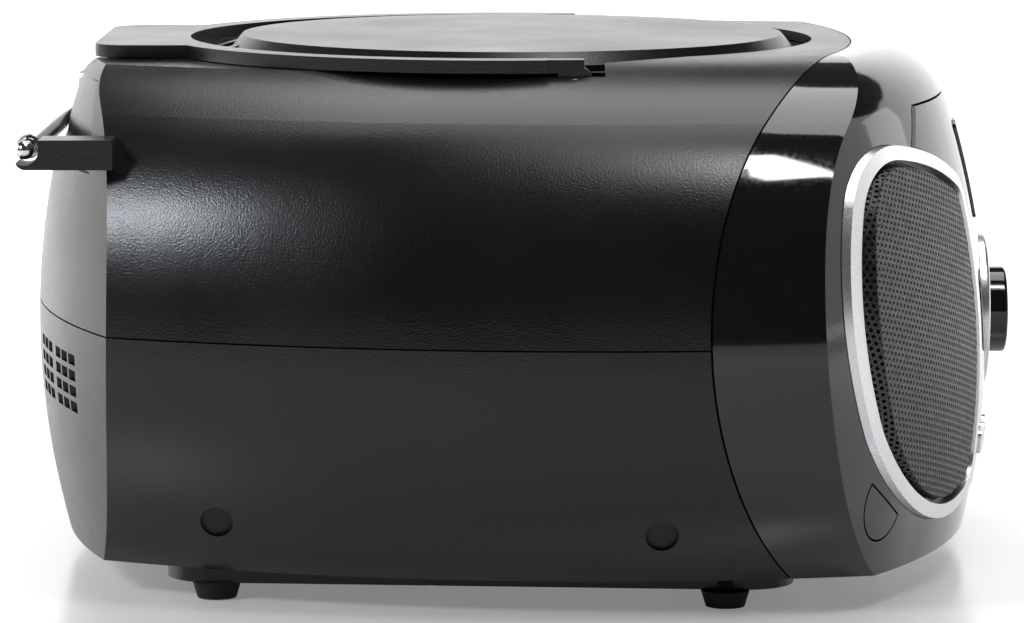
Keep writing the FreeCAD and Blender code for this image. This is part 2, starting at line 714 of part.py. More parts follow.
def front_cabinet():
    hull = SKIN.cut(seam_drum(SEAM_GAP / 2))
    lip = LIP_BAND.common(seam_drum(LIP_HEIGHT)).cut(seam_drum(-LIP_HEIGHT))
    root = body(WALL - 0.2).cut(body(WALL + LIP_CLEARANCE + LIP_THICKNESS))
    root = root.common(seam_drum(2 * LIP_HEIGHT)).cut(seam_drum(LIP_HEIGHT - 0.1))
    backing = fascia_layer(-WALL / 2, SEAT_DEPTH + WALL - WALL / 2)
    backing = backing.common(panel_block(-4.0, -FAR, -60))
    left_rim = ring_block(RIM_WIDTH, -FAR, -60).cut(ring_block(-RING_WIDTH - RIM_WIDTH, -FAR, -60))
    rims = left_rim.fuse(mirrored(left_rim))
    rims = rims.common(fascia_layer(-WALL / 2, RING_DEPTH + WALL * 1.5)).common(body(WALL / 2))
    left_box = speaker_box()
    bosses = [rod(2.6, (x, -FAR, z), (x, front_board_y(), z)) for x, z in front_board_places()]
    bosses += [rod(2.6, (x, -FAR, z), (x, key_board_y(), z)) for x, z in key_board_places()]
    bosses = [b.common(body(WALL / 2)) for b in bosses]
    hull = hull.fuse([lip, root, backing, rims, left_box, mirrored(left_box)] + bosses)
    panel_seat = panel_block(0, -FAR, -60).common(fascia_layer(20, 20 + PANEL_DEPTH))
    ring_seat = ring_block(PANEL_GAP / 2, -FAR, -60).common(fascia_layer(20, 20 + RING_DEPTH))
    through = ring_block(-RING_WIDTH - 2, -FAR, -50).common(fascia_layer(20, 20 + WALL + 5))
    window_hole = box(-WINDOW_HALF + 3, WINDOW_HALF - 3, -FAR, -80, WINDOW_LOW_Z + 2,
                      WINDOW_HIGH_Z - 2)
    cuts = [panel_seat, ring_seat, mirrored(ring_seat), through, mirrored(through), window_hole]
    cuts += [rod(2.2, (x, -FAR, KEY_Z), (x, -60, KEY_Z)) for name, x in key_places()]
    cuts.append(rod(SHAFT_RADIUS + 2.5, (0, -FAR, KNOB_Z), (0, -80, KNOB_Z)))
    cover_cup = cover_outline(-COVER_GAP - COVER_CUP_WALL, -10, COVER_CUP_DEPTH + COVER_CUP_WALL)
    cover_cup = cover_cup.common(body(WALL / 2))
    cup_hollow = cover_outline(-COVER_GAP, -10, COVER_CUP_DEPTH)
    hull = hull.fuse(cover_cup).cut(cuts + [cup_hollow] + jack_tubes(JACK_RADIUS + 1.1, 0))
    drum_clear = box(-FAR, FAR, -FAR, 0, 0, CASE_TOP + 1)
    return hull.common(drum_clear).removeSplitter()


def speaker_box():
    """Oval collar and slanted baffle that carry the left loudspeaker behind the fascia."""
    wall = ring_block(-1, -FAR, -50).cut(ring_block(-3.2, -FAR, -50))
    ahead = place_speaker(box(-FAR, FAR, -FAR, 0, -FAR, FAR))
    slab = place_speaker(box(-FAR, FAR, -BAFFLE_THICKNESS, 0, -FAR, FAR))
    slab = slab.common(ring_block(-1, -FAR, -50))
    mouth = place_speaker(rod(BAFFLE_HOLE_RADIUS, (0, -FAR, 0), (0, 1, 0)))
    inside = body(WALL / 2)
    return wall.common(ahead).common(inside).fuse(slab.common(inside).cut(mouth))


def front_board_places():
    return [(s * 22.0, z) for z in (46.0, 82.0) for s in (-1, 1)]


def key_board_places():
    return [(s * KEY_SCREW_X, KEY_Z) for s in (-1, 1)]


def jack_places():
    """Middles of the two sockets in the jack cover's own frame."""
    return ((-4.2, 1.4), (1.8, -2.6))


def jack_tubes(radius, inner):
    """Sleeves, or solid rods when the inner radius is nought, through the floor of the cup."""
    tubes = []
    for x, z in jack_places():
        ends = ((x, COVER_CUP_DEPTH, z), (x, COVER_CUP_DEPTH + COVER_CUP_WALL, z))
        tube = rod(radius, *ends)
        tubes.append(place_cover(tube.cut(rod(inner, *ends)) if inner else tube))
    return tubes


# Front pieces
def centre_panel():
    slab = panel_block(PANEL_GAP, -FAR, -60).common(fascia_layer(PANEL_PROUD, SEAT_DEPTH))
    cuts = [box(-WINDOW_HALF - 0.3, WINDOW_HALF + 0.3, -FAR, -60, WINDOW_LOW_Z - 0.3,
                WINDOW_HIGH_Z + 0.3),
            rod(SHAFT_RADIUS + 2.5, (0, -FAR, KNOB_Z), (0, -80, KNOB_Z)),
            rod(DIAL_RADIUS + 0.3, (0, -FAR, KNOB_Z), (0, dial_seat_y(), KNOB_Z))]
    cuts += [key_block(-x, KEY_GAP, -FAR, -60) for x in KEY_X]
    left = slab.common(box(-FAR, 0, -FAR, 0, 0, FAR))
    for cut in cuts:
        left = left.cut(cut)
    return joined([left, mirrored(left)])


def display_window():
    block = box(-WINDOW_HALF, WINDOW_HALF, -FAR, -60, WINDOW_LOW_Z, WINDOW_HIGH_Z)
    edges = [e for e in block.Edges if abs(e.tangentAt(e.FirstParameter).y) > 0.99]
    return block.makeFillet(2.0, edges).common(fascia_layer(WINDOW_PROUD, 2.6))


def dial_seat_y():
    return front_y(0, KNOB_Z) + DIAL_SEAT


def dial_ring():
    seat = dial_seat_y()
    face = seat - DIAL_SEAT - DIAL_PROUD
    dial = rod(DIAL_RADIUS, (0, seat, KNOB_Z), (0, face, KNOB_Z))
    hole = rod(KNOB_RADIUS + 1.4, (0, seat + 1, KNOB_Z), (0, -FAR, KNOB_Z))
    edge = [e for e in dial.Edges if e.CenterOfMass.y < seat - 1 and e.Length > 50]
    return dial.makeFillet(0.9, edge).cut(hole)


def volume_knob():
    base = front_y(0, KNOB_Z) - KNOB_LIFT
    grip = rod(KNOB_RADIUS, (0, base, KNOB_Z), (0, KNOB_FACE_Y, KNOB_Z))
    rims = [e for e in grip.Edges if e.CenterOfMass.y < KNOB_FACE_Y + 0.1 and e.Length > 20]
    grip = grip.makeFillet(0.9, rims)
    mark = box(-0.6, 0.6, KNOB_FACE_Y - 1, KNOB_FACE_Y + 0.4, KNOB_Z + 5, KNOB_Z + 10)
    bore = rod(SHAFT_RADIUS, (0, base + 1, KNOB_Z), (0, base - 4.0, KNOB_Z))
    stem = rod(SHAFT_RADIUS, (0, base - 4.0, KNOB_Z), (0, encoder_y() - 1.0, KNOB_Z))
    return grip.cut([mark, bore]).fuse(stem).removeSplitter()


def encoder_y():
    """Front of the volume control's body."""
    return front_board_y() - 7.0


def volume_control():
    y = encoder_y()
    case = box(-6.5, 6.5, y, front_board_y(), KNOB_Z - 6.5, KNOB_Z + 6.5)
    bush = ring(4.2, SHAFT_RADIUS + RUNNING_FIT, (0, y - 5.0, KNOB_Z), (0, y, KNOB_Z))
    return case.fuse(bush)


def front_board_y():
    return front_y(0, KNOB_Z) + 20.0


def key_board_y():
    return front_y(KEY_X[-1], KEY_Z) + KEY_BOARD_DEPTH


def front_board():
    y = front_board_y()
    return box(-28, 28, y, y + BOARD_THICKNESS, 42, 110)


def key_board():
    """The keys' narrow board with a switch behind each key."""
    y = key_board_y()
    half = KEY_X[-1] + 7
    board = box(-half, half, y, y + BOARD_THICKNESS, KEY_Z - 6, KEY_Z + 6)
    switches = [box(x - 3, x + 3, y - 4, y, KEY_Z - 3, KEY_Z + 3) for name, x in key_places()]
    return joined([board] + switches)


def key(x):
    face = key_block(x, 0, -FAR, -60).common(fascia_layer(KEY_PROUD, KEY_PROUD + 0.6))
    stem_back = key_board_y() - 4.0 - KEY_TRAVEL - 0.1
    stem = rod(1.7, (x, front_y(x, KEY_Z) - 0.4, KEY_Z), (x, stem_back, KEY_Z))
    return face.fuse(stem).removeSplitter()


def display_module():
    y = front_board_y()
    frame = box(-23, 23, y - 5.5, y, WINDOW_LOW_Z + 2.5, WINDOW_HIGH_Z - 2.5)
    glass = box(-21, 21, y - 6.5, y - 5.5, WINDOW_LOW_Z + 4, WINDOW_HIGH_Z - 4)
    return frame.fuse(glass).removeSplitter()


def speaker_ring():
    band = ring_block(0, -FAR, -60).cut(ring_block(-RING_WIDTH, -FAR, -60))
    return band.common(fascia_layer(RING_PROUD, RING_PROUD + RING_DEPTH))


def grille_barrel(shrink):
    """The grille's flatter front surface, through a proud outer and a lower inner place."""
    outer, inner = [V(x, front_y(x, SPEAKER_Z) - proud, 0)
                    for x, proud in zip(GRILLE_X, GRILLE_PROUD)]
    chord = inner - outer
    reach = math.sqrt(GRILLE_BOW ** 2 - (chord.Length / 2) ** 2)
    centre = (inner + outer) / 2 + V(-chord.y, chord.x, 0).normalize() * reach
    return barrel(GRILLE_BOW, front_draw_in, FRONT_SHOULDER_Z, shrink, (centre.x, centre.y))


def speaker_grille():
    seat = fascia_layer(20, 20 + RING_DEPTH - 0.2)
    grow = -RING_WIDTH - GRILLE_SLACK
    front = ring_block(grow, -FAR, -60).common(grille_barrel(0)).common(seat)
    hollow = ring_block(grow - GRILLE_SKIN, -FAR, -60)
    return front.cut(hollow.common(grille_barrel(GRILLE_SKIN)))


def place_speaker(shape):
    """Turns a loudspeaker piece, built about its own axis along Y, towards the left."""
    shape.rotate(V(0, 0, 0), V(0, 0, 1), -SPEAKER_TURN)
    shape.translate(V(-SPEAKER_X, SPEAKER_Y, SPEAKER_Z))
    return shape


def speaker_frame():
    flange = rod(SPEAKER_RADIUS, (0, 0, 0), (0, 1.5, 0))
    basket = Part.makeCone(SPEAKER_RADIUS - 2.4, MAGNET_RADIUS - 4, SPEAKER_DEPTH - 1.5,
                           V(0, 1.5, 0), V(0, 1, 0))
    hollow = Part.makeCone(SPEAKER_RADIUS - 3.6, MAGNET_RADIUS - 7, SPEAKER_DEPTH - 3,
                           V(0, 1.5, 0), V(0, 1, 0))
    mouth = rod(SPEAKER_RADIUS - 3.6, (0, -1, 0), (0, 1.5, 0))
    neck = rod(9.0, (0, 10, 0), (0, SPEAKER_DEPTH + 1, 0))
    arms = [rod(6.0, (0, 11, 0), (math.cos(a) * 40, 11, math.sin(a) * 40))
            for a in [math.pi / 4 + i * math.pi / 2 for i in range(4)]]
    return place_speaker(flange.fuse(basket).cut([hollow, mouth, neck] + arms).removeSplitter())


def speaker_cone():
    mouth, neck, depth = SPEAKER_RADIUS - 6.0, 8.0, 13.0
    cone = Part.makeCone(mouth, neck, depth, V(0, 1.6, 0), V(0, 1, 0))
    inside = Part.makeCone(mouth, neck, depth, V(0, 0.8, 0), V(0, 1, 0))
    cap = Part.makeSphere(11.0, V(0, 15.0, 0)).cut(box(-FAR, FAR, 9.5, FAR, -FAR, FAR))
    coil = ring(7.6, 6.6, (0, 9.0, 0), (0, SPEAKER_DEPTH - 0.4, 0))
    roll = ring(SPEAKER_RADIUS - 4.4, mouth - 1.2, (0, 0.3, 0), (0, 1.7, 0))
    return place_speaker(joined([cone.cut(inside), cap, coil, roll]))


def speaker_magnet():
    body_ = rod(MAGNET_RADIUS, (0, SPEAKER_DEPTH, 0), (0, SPEAKER_DEPTH + MAGNET_DEPTH, 0))
    rims = [e for e in body_.Edges if e.Length > 50]
    return place_speaker(body_.makeFillet(0.8, rims))


def jack_cover():
    return cover_outline(0, -10, 10).common(fascia_layer(0, COVER_SKIN))


def jack_sockets():
    start = COVER_CUP_DEPTH + COVER_CUP_WALL
    block = place_cover(box(-7.2, 4.6, start, start + 9.0, -5.6, 4.4))
    bores = [place_cover(rod(JACK_RADIUS, (x, start - 1, z), (x, start + 7.0, z)))
             for x, z in jack_places()]
    collar = ring_block(-0.7, -FAR, -50)
    return joined([block.cut(collar)] + jack_tubes(JACK_RADIUS + 1.1, JACK_RADIUS)).cut(bores)


# Disc pieces
def cd_deck():
    outer = recess_circle(RECESS_RADIUS - DECK_CLEARANCE, DECK_RIM_Z - DECK_SKIN, DECK_RIM_Z)
    cup = Part.makeCylinder(WELL_RADIUS + DECK_SKIN, DECK_RIM_Z - WELL_FLOOR_Z + DECK_SKIN,
                            V(0, 0, WELL_FLOOR_Z - DECK_SKIN))
    well = Part.makeCylinder(WELL_RADIUS, FAR, V(0, 0, WELL_FLOOR_Z))
    spindle = Part.makeCylinder(SPINDLE_HOLE_RADIUS, FAR, V(0, 0, 0))
    slot = box(-LASER_SLOT_WIDTH / 2, LASER_SLOT_WIDTH / 2, -LASER_SLOT_REACH, 0, 0, WELL_FLOOR_Z + 1)
    slots = []
    for reach, margin in ((LID_ARM_REACH, HANDLE_CLEARANCE),
                          (HINGE_BOSS_FRONT, HINGE_BOSS_SIDE)):
        half = LID_ARM_WIDTH / 2 + margin + DECK_CLEARANCE
        slots += [box(s * LID_ARM_X - half, s * LID_ARM_X + half,
                      LID_HINGE_Y - reach - DECK_CLEARANCE, FAR, 0, FAR) for s in (-1, 1)]
    catch = box(-4.5, 4.5, -RECESS_RADIUS, -68.0, 0, FAR)
    grips = [Part.makeCylinder(11.0, 6.0, V(s * WELL_RADIUS, 0, WELL_FLOOR_Z)) for s in (-1, 1)]
    seat_z = WELL_FLOOR_Z - DECK_SKIN
    holes = [rod(SCREW_RADIUS, (x, y, seat_z), (x, y, seat_z + SCREW_BITE))
             for x, y in DAMPER_PLACES]
    cuts = [well, spindle, slot, catch] + slots + grips + holes
    return outer.fuse(cup).cut(cuts).removeSplitter()


def lid_profile(inset, z_top, z_low):
    """Half section of the lid as a face: bevelled rim and a level top."""
    bevel = LID_RADIUS - inset - LID_BEVEL_RUN
    points = [(0, 0, z_low), (LID_RADIUS - inset, 0, z_low),
              (LID_RADIUS - inset, 0, z_top - LID_BEVEL_DROP), (bevel, 0, z_top), (0, 0, z_top)]
    return outline(points).revolve(V(0, 0, 0), V(0, 0, 1), 360)


def cd_lid():
    shell = lid_profile(0, LID_TOP_Z, LID_RIM_Z).cut(
        lid_profile(LID_SKIN, LID_TOP_Z - LID_SKIN, LID_RIM_Z - 1))
    arms = []
    for s in (-1, 1):
        low, high = s * LID_ARM_X - LID_ARM_WIDTH / 2, s * LID_ARM_X + LID_ARM_WIDTH / 2
        front = LID_HINGE_Y - LID_ARM_REACH
        side = [(front, LID_RIM_Z + 3), (front, LID_RIM_Z - 0.4),
                (LID_HINGE_Y - 4, LID_HINGE_Z - LID_KNUCKLE_RADIUS),
                (LID_HINGE_Y, LID_HINGE_Z - LID_KNUCKLE_RADIUS),
                (LID_HINGE_Y, LID_HINGE_Z + LID_KNUCKLE_RADIUS), (LID_HINGE_Y - 10, LID_RIM_Z + 3)]
        arm = outline([(low, y, z) for y, z in side]).extrude(V(high - low, 0, 0))
        knuckle = rod(LID_KNUCKLE_RADIUS, (low, LID_HINGE_Y, LID_HINGE_Z),
                      (high, LID_HINGE_Y, LID_HINGE_Z))
        arms += [arm, knuckle]
    hook = box(-3.5, 3.5, -LID_RADIUS + 2.2, -LID_RADIUS + 4.4, LID_RIM_Z - 6.0, LID_RIM_Z + 1)
    barb = box(-3.5, 3.5, -LID_RADIUS + 1.0, -LID_RADIUS + 4.4, LID_RIM_Z - 6.0, LID_RIM_Z - 4.6)
    lid = shell.fuse(arms + [hook, barb])
    return lid.cut([lid_pin(s, RUNNING_FIT) for s in (-1, 1)]).removeSplitter()


def lid_latch():
    base = latch_block(0)
    lever = box(-LATCH_HALF + 1, LATCH_HALF - 1, RECESS_Y - RECESS_RADIUS, -LID_RADIUS,
                base.BoundBox.ZMin - 6.0, base.BoundBox.ZMin)
    return base.fuse(lever).removeSplitter()


def handle():
    low = HANDLE_TOP_Z - HANDLE_THICKNESS
    band = handle_plan(-HANDLE_CLEARANCE, low, HANDLE_TOP_Z)
    x = handle_pivot_x()
    half = KNUCKLE_WIDTH / 2
    cuts = [recess_circle(RECESS_RADIUS + HANDLE_CLEARANCE, low - 1, HANDLE_TOP_Z + 1),
            box(-FAR, FAR, -FAR, PIVOT_Y - 2.3, low - 1, HANDLE_TOP_Z + 1)]
    waist_y = PIVOT_Y + KNUCKLE_RADIUS + 2.0
    for s in (-1, 1):
        for edge in (-1, 1):
            first, last = sorted((s * x + edge * half, s * x + edge * 20))
            cuts.append(box(first, last, -FAR, waist_y, low - 1, HANDLE_TOP_Z + 1))
    band = band.cut(cuts)
    knuckles = [rod(KNUCKLE_RADIUS, (s * x - half, PIVOT_Y, PIVOT_Z),
                    (s * x + half, PIVOT_Y, PIVOT_Z)) for s in (-1, 1)]
    grip_pad = box(-GRIP_HALF + 8, GRIP_HALF - 8, GRIP_BACK_Y - 14, GRIP_BACK_Y - 4.0,
                   low - 0.2, low + 1)
    bores = [rod(PIN_RADIUS + RUNNING_FIT, (s * x - half, PIVOT_Y, PIVOT_Z),
                 (s * x + half, PIVOT_Y, PIVOT_Z)) for s in (-1, 1)]
    return band.fuse(knuckles + [grip_pad]).cut(bores).removeSplitter()


def handle_pins():
    x = handle_pivot_x()
    return [rod(PIN_RADIUS, (s * x - pin_half(), PIVOT_Y, PIVOT_Z),
                (s * x + pin_half(), PIVOT_Y, PIVOT_Z)) for s in (-1, 1)]


def dampers():
    low = CHASSIS_Z - 1.6
    high = WELL_FLOOR_Z - DECK_SKIN
    pieces = []
    for x, y in DAMPER_PLACES:
        bush = ring(DAMPER_RADIUS, SCREW_RADIUS, (x, y, low), (x, y, high))
        groove = ring(DAMPER_RADIUS + 1, DAMPER_RADIUS - 1.2, (x, y, CHASSIS_Z),
                      (x, y, CHASSIS_Z + CHASSIS_THICKNESS))
        pieces.append(bush.cut(groove))
    return pieces


def damper_screws():
    low = CHASSIS_Z - 1.6
    return [rod(3.0, (x, y, low - 1.6), (x, y, low)).fuse(
            rod(SCREW_RADIUS, (x, y, low), (x, y, WELL_FLOOR_Z - DECK_SKIN + SCREW_BITE)))
            for x, y in DAMPER_PLACES]


def mechanism_chassis():
    top = CHASSIS_Z + CHASSIS_THICKNESS
    plate = box(-CHASSIS_X, CHASSIS_X, CHASSIS_Y[0], CHASSIS_Y[1], CHASSIS_Z, top)
    ends = [box(GUIDE_X - 4, GUIDE_X + 4, y, y + 3.0, GUIDE_Z - 3.5, CHASSIS_Z)
            for y in (GUIDE_Y[0], GUIDE_Y[1] - 3.0)]
    cuts = [rod(DAMPER_RADIUS - 1.2, (x, y, 0), (x, y, FAR)) for x, y in DAMPER_PLACES]
    cuts.append(rod(9.0, (0, 0, CHASSIS_Z - 1), (0, 0, top + 1)))
    cuts.append(box(-7, 7, -LASER_SLOT_REACH - 2, -14, CHASSIS_Z - 1, top + 1))
    cuts.append(rod(GUIDE_RADIUS, (GUIDE_X, -FAR, GUIDE_Z), (GUIDE_X, FAR, GUIDE_Z)))
    return plate.fuse(ends).cut(cuts).removeSplitter()


def guide_rod():
    return rod(GUIDE_RADIUS, (GUIDE_X, GUIDE_Y[0], GUIDE_Z), (GUIDE_X, GUIDE_Y[1], GUIDE_Z))


def spindle_motor():
    can = rod(9.0, (0, 0, CHASSIS_Z - 10), (0, 0, CHASSIS_Z + 3.0))
    flange = rod(11.5, (0, 0, CHASSIS_Z - 1.4), (0, 0, CHASSIS_Z))
    neck = rod(3.0, (0, 0, CHASSIS_Z + 3.0), (0, 0, HUB_Z - 2.0))
    bore = rod(SPINDLE_RADIUS + RUNNING_FIT, (0, 0, CHASSIS_Z - 2), (0, 0, HUB_Z))
    return joined([can, flange, neck]).cut(bore)


def turntable_hub():
    table = rod(HUB_RADIUS, (0, 0, HUB_Z), (0, 0, HUB_Z + 1.6))
    nose = Part.makeCone(7.4, 5.6, 3.6, V(0, 0, HUB_Z + 1.6))
    boss = rod(3.4, (0, 0, HUB_Z - 1.8), (0, 0, HUB_Z))
    shaft = rod(SPINDLE_RADIUS, (0, 0, CHASSIS_Z - 1.5), (0, 0, HUB_Z))
    clips = [box(-1.1, 1.1, 6.2, 7.9, HUB_Z + 2.4, HUB_Z + 4.0) for i in range(3)]
    for i, clip in enumerate(clips):
        clip.rotate(V(0, 0, 0), V(0, 0, 1), i * 120)
    return joined([table, nose, boss, shaft] + clips)


def gear_outline(teeth, module):
    """Points of a gear with straight-sided teeth and some backlash."""
    pitch = teeth * module / 2
    root_half = math.pi / teeth * 0.60
    tip_half = math.pi / teeth * 0.24
    points = []
    for i in range(teeth):
        middle = 2 * math.pi * i / teeth
        for radius, offset in ((pitch - 0.9 * module, -root_half), (pitch + 0.6 * module, -tip_half),
                               (pitch + 0.6 * module, tip_half), (pitch - 0.9 * module, root_half)):
            points.append((radius * math.cos(middle + offset), radius * math.sin(middle + offset)))
    return points


def gear_x():
    return RACK_X - GEAR_TEETH * GEAR_MODULE / 2


def sled_gear():
    wheel = plate_xy(gear_outline(GEAR_TEETH, GEAR_MODULE), GEAR_Z[0], GEAR_Z[1])
    hub = Part.makeCylinder(3.0, 1.6, V(0, 0, GEAR_Z[1]))
    bore = Part.makeCylinder(SPINDLE_RADIUS + RUNNING_FIT, 20, V(0, 0, GEAR_Z[0] - 5))
    wheel = wheel.fuse(hub).cut(bore)
    wheel.translate(V(gear_x(), GEAR_Y, 0))
    return wheel


def sled_motor():
    x = gear_x()
    low = GEAR_Z[0] - 0.3
    can = rod(7.5, (x, GEAR_Y, low - 12), (x, GEAR_Y, low))
    shaft = rod(SPINDLE_RADIUS, (x, GEAR_Y, low), (x, GEAR_Y, CHASSIS_Z))
    reach = GEAR_TEETH * GEAR_MODULE / 2 + 3.0
    plate = box(x - 4, x + 4, GEAR_Y - reach - 2, GEAR_Y + reach + 2, low - 1.4, low)
    posts = [rod(1.6, (x, GEAR_Y + s * reach, low), (x, GEAR_Y + s * reach, CHASSIS_Z))
             for s in (-1, 1)]
    return joined([can, shaft, plate] + posts)


def rack_teeth():
    """Teeth along the sled's left edge, with a gap opposite the wheel's first tooth."""
    pitch = math.pi * GEAR_MODULE
    teeth = []
    first = math.ceil((SLED_Y[0] + 1.2 - GEAR_Y) / pitch - 0.5)
    last = math.floor((SLED_Y[1] + SLED_TRAVEL - 1.2 - GEAR_Y) / pitch - 0.5)
    for i in range(first, last + 1):
        y = GEAR_Y + (i + 0.5) * pitch
        root, tip = 0.30 * pitch, 0.13 * pitch
        back_x = RACK_X + 0.9 * GEAR_MODULE
        tip_x = RACK_X - 0.6 * GEAR_MODULE
        teeth.append(plate_xy([(back_x + 0.2, y - root), (tip_x, y - tip), (tip_x, y + tip),
                               (back_x + 0.2, y + root)], GEAR_Z[0], GEAR_Z[1]))
    return teeth


def laser_sled():
    back_x = RACK_X + 0.9 * GEAR_MODULE
    core = box(-SLED_HALF, SLED_HALF, SLED_Y[0], SLED_Y[1], SLED_Z[0], SLED_Z[1])
    sleeve = box(SLED_HALF - 1, GUIDE_X + 2.8, SLED_Y[0] + 4, SLED_Y[1] - 4,
                 SLED_Z[0], SLED_Z[1])
    arm = box(back_x, -SLED_HALF + 1, SLED_Y[0], SLED_Y[1] + SLED_TRAVEL, GEAR_Z[0], GEAR_Z[1])
    tower = box(-5.5, 5.5, -38, -27, SLED_Z[1], CHASSIS_Z + CHASSIS_THICKNESS + 3.0)
    lens = rod(3.0, (0, -32.5, CHASSIS_Z + 4.0), (0, -32.5, WELL_FLOOR_Z - 2.5))
    bore = rod(GUIDE_RADIUS + RUNNING_FIT, (GUIDE_X, -FAR, GUIDE_Z), (GUIDE_X, FAR, GUIDE_Z))
    return joined([core, sleeve, arm, tower, lens] + rack_teeth()).cut(bore)


# Boards and power
def main_board():
    half = 66.0
    board = box(-half, half, BAY_FRONT_Y, BAY_BACK_Y, board_z(), board_z() + BOARD_THICKNESS)
    return board.cut([rod(SCREW_RADIUS, (x, y, 0), (x, y, FAR)) for x, y in board_places()])


def board_screws():
    top = board_z() + BOARD_THICKNESS
    return [rod(SCREW_RADIUS, (x, y, BAY_TOP_Z + BAY_WALL + 1), (x, y, top)).fuse(
            rod(3.0, (x, y, top), (x, y, top + 1.6))) for x, y in board_places()]


def board_parts():
    """Capacitors, coils and chips that stand on the main board."""
    top = board_z() + BOARD_THICKNESS
    cans = [(-30.0, 20.0, 6.0, 20.0), (-14.0, 22.0, 5.0, 16.0), (30.0, 24.0, 4.0, 12.0),
            (40.0, 6.0, 4.0, 12.0), (-44.0, -6.0, 3.0, 8.0), (36.0, -14.0, 3.0, 8.0)]
    chips = [(0.0, 4.0, 14.0, 14.0), (-24.0, -6.0, 10.0, 6.0), (18.0, -8.0, 8.0, 6.0)]
    parts = [rod(r, (x, y, top), (x, y, top + h)) for x, y, r, h in cans]
    parts += [box(x - w / 2, x + w / 2, y - d / 2, y + d / 2, top, top + 2.0)
              for x, y, w, d in chips]
    return parts


def heat_sink():
    top = board_z() + BOARD_THICKNESS
    y = BAY_BACK_Y - 14.0
    back = box(44, 58, y - 9, y + 9, top, top + 22)
    cuts = [box(46.4, 60, y - 9 + 1.6 + i * 3.3, y - 9 + 3.4 + i * 3.3, top - 1, top + 23)
            for i in range(5)]
    return back.cut(cuts)


def ferrite_aerial():
    z = board_z() + BOARD_THICKNESS + 9.0
    y = BAY_FRONT_Y + 8.0
    bar = rod(4.0, (-42, y, z), (42, y, z))
    coils = [rod(5.2, (x, y, z), (x + 16, y, z)) for x in (-34, 14)]
    feet = [box(x, x + 4, y - 5, y + 5, z - 9.0, z) for x in (-41, 37)]
    return joined([bar] + coils + feet)


def transformer():
    x0, y0 = BAY_HALF + BAY_WALL + 3.0, 26.0
    floor = CASE_BOTTOM + WALL
    core = box(x0, x0 + 17, y0, y0 + 31, floor, floor + 34)
    bobbin = box(x0 - 2.0, x0 + 19, y0 + 6, y0 + 25, floor + 7, floor + 27)
    return core.fuse(bobbin).removeSplitter()


def mains_inlet():
    """Two-pin inlet that fills its opening in the back wall."""
    half, tall = INLET_SIZE[0] / 2 - 0.2, INLET_SIZE[1] / 2 - 0.2
    wall_y = back_y(INLET_X + half + 3, INLET_Z - tall - 3) - WALL
    front = back_y(INLET_X + half, INLET_Z) - 0.4
    body_ = box(INLET_X - half, INLET_X + half, wall_y - 16, front, INLET_Z - tall, INLET_Z + tall)
    flange = box(INLET_X - half - 3, INLET_X + half + 3, wall_y - 3.4, wall_y - 1.6,
                 INLET_Z - tall - 3, INLET_Z + tall + 3)
    hollow = inlet_socket(wall_y - 11, FAR)
    pins = [rod(1.2, (INLET_X + s * 4.3, wall_y - 12, INLET_Z),
                (INLET_X + s * 4.3, wall_y - 2, INLET_Z)) for s in (-1, 1)]
    return body_.fuse(flange).cut(hollow).fuse(pins).removeSplitter()


def inlet_socket(y0, y1):
    lobes = [rod(4.2, (INLET_X + s * 4.3, y0, INLET_Z), (INLET_X + s * 4.3, y1, INLET_Z))
             for s in (-1, 1)]
    middle = box(INLET_X - 4.3, INLET_X + 4.3, y0, y1, INLET_Z - 2.7, INLET_Z + 2.7)
    return lobes[0].fuse([lobes[1], middle]).removeSplitter()


def battery_contacts():
    plates = []
    gap = (BAY_BACK_Y - BAY_FRONT_Y) / 3
    for s in (-1, 1):
        for i in range(3):
            y = BAY_FRONT_Y + gap * (i + 0.5)
            first, last = sorted((s * BAY_HALF, s * (BAY_HALF - 0.6)))
            plates.append(box(first, last, y - 8, y + 8, 16, 36))
            first, last = sorted((s * (BAY_HALF - 0.6), s * (BAY_HALF - 2.0)))
            plates[-1] = plates[-1].fuse(rod(3.0, (first, y, 26), (last, y, 26)))
    return plates


def battery_door():
    door = door_block(0, 0)
    grooves = [box(-20, 20, BAY_BACK_Y - 4 - i * 3.0, BAY_BACK_Y - 2.6 - i * 3.0,
                   PEDESTAL_Z - 1, PEDESTAL_Z + 0.6) for i in range(4)]
    return door.cut(grooves)


def feet():
    pads = []
    for x, y in foot_places():
        pad = Part.makeCone(FOOT_TIP_RADIUS, FOOT_RADIUS, PEDESTAL_Z, V(x, y, 0))
        pads.append(pad.fuse(rod(FOOT_STUD_RADIUS, (x, y, PEDESTAL_Z), (x, y, CASE_BOTTOM))))
    return pads


def case_screws():
    head_top = CASE_BOTTOM + 4
    return [rod(SCREW_HEAD_RADIUS, (x, y, head_top - 2.4), (x, y, head_top)).fuse(
            rod(SCREW_RADIUS, (x, y, head_top), (x, y, CASE_SEAM_Z + 8)))
            for x, y in screw_places()]


# Rod aerial
def aerial_rest():
    """Black shelf at the left corner where the aerial's tip lies in a channel."""
    block = box(HOLDER_X[0], HOLDER_X[1], 96.0, HOLDER_BACK_Y, HOLDER_Z[0], HOLDER_Z[1])
    edges = [e for e in block.Edges if abs(e.tangentAt(e.FirstParameter).x) > 0.99
             and e.CenterOfMass.y > HOLDER_BACK_Y - 1 and e.CenterOfMass.z < HOLDER_Z[0] + 1]
    block = block.makeFillet(2.5, edges)
    slot = ROD_RADII[0] + 0.5
    channel = rod(slot, (-FAR, ROD_Y, ROD_Z), (0, ROD_Y, ROD_Z))
    mouth = box(-FAR, 0, ROD_Y - slot, ROD_Y + slot, ROD_Z, FAR)
    return block.cut([OUTER, channel, mouth])


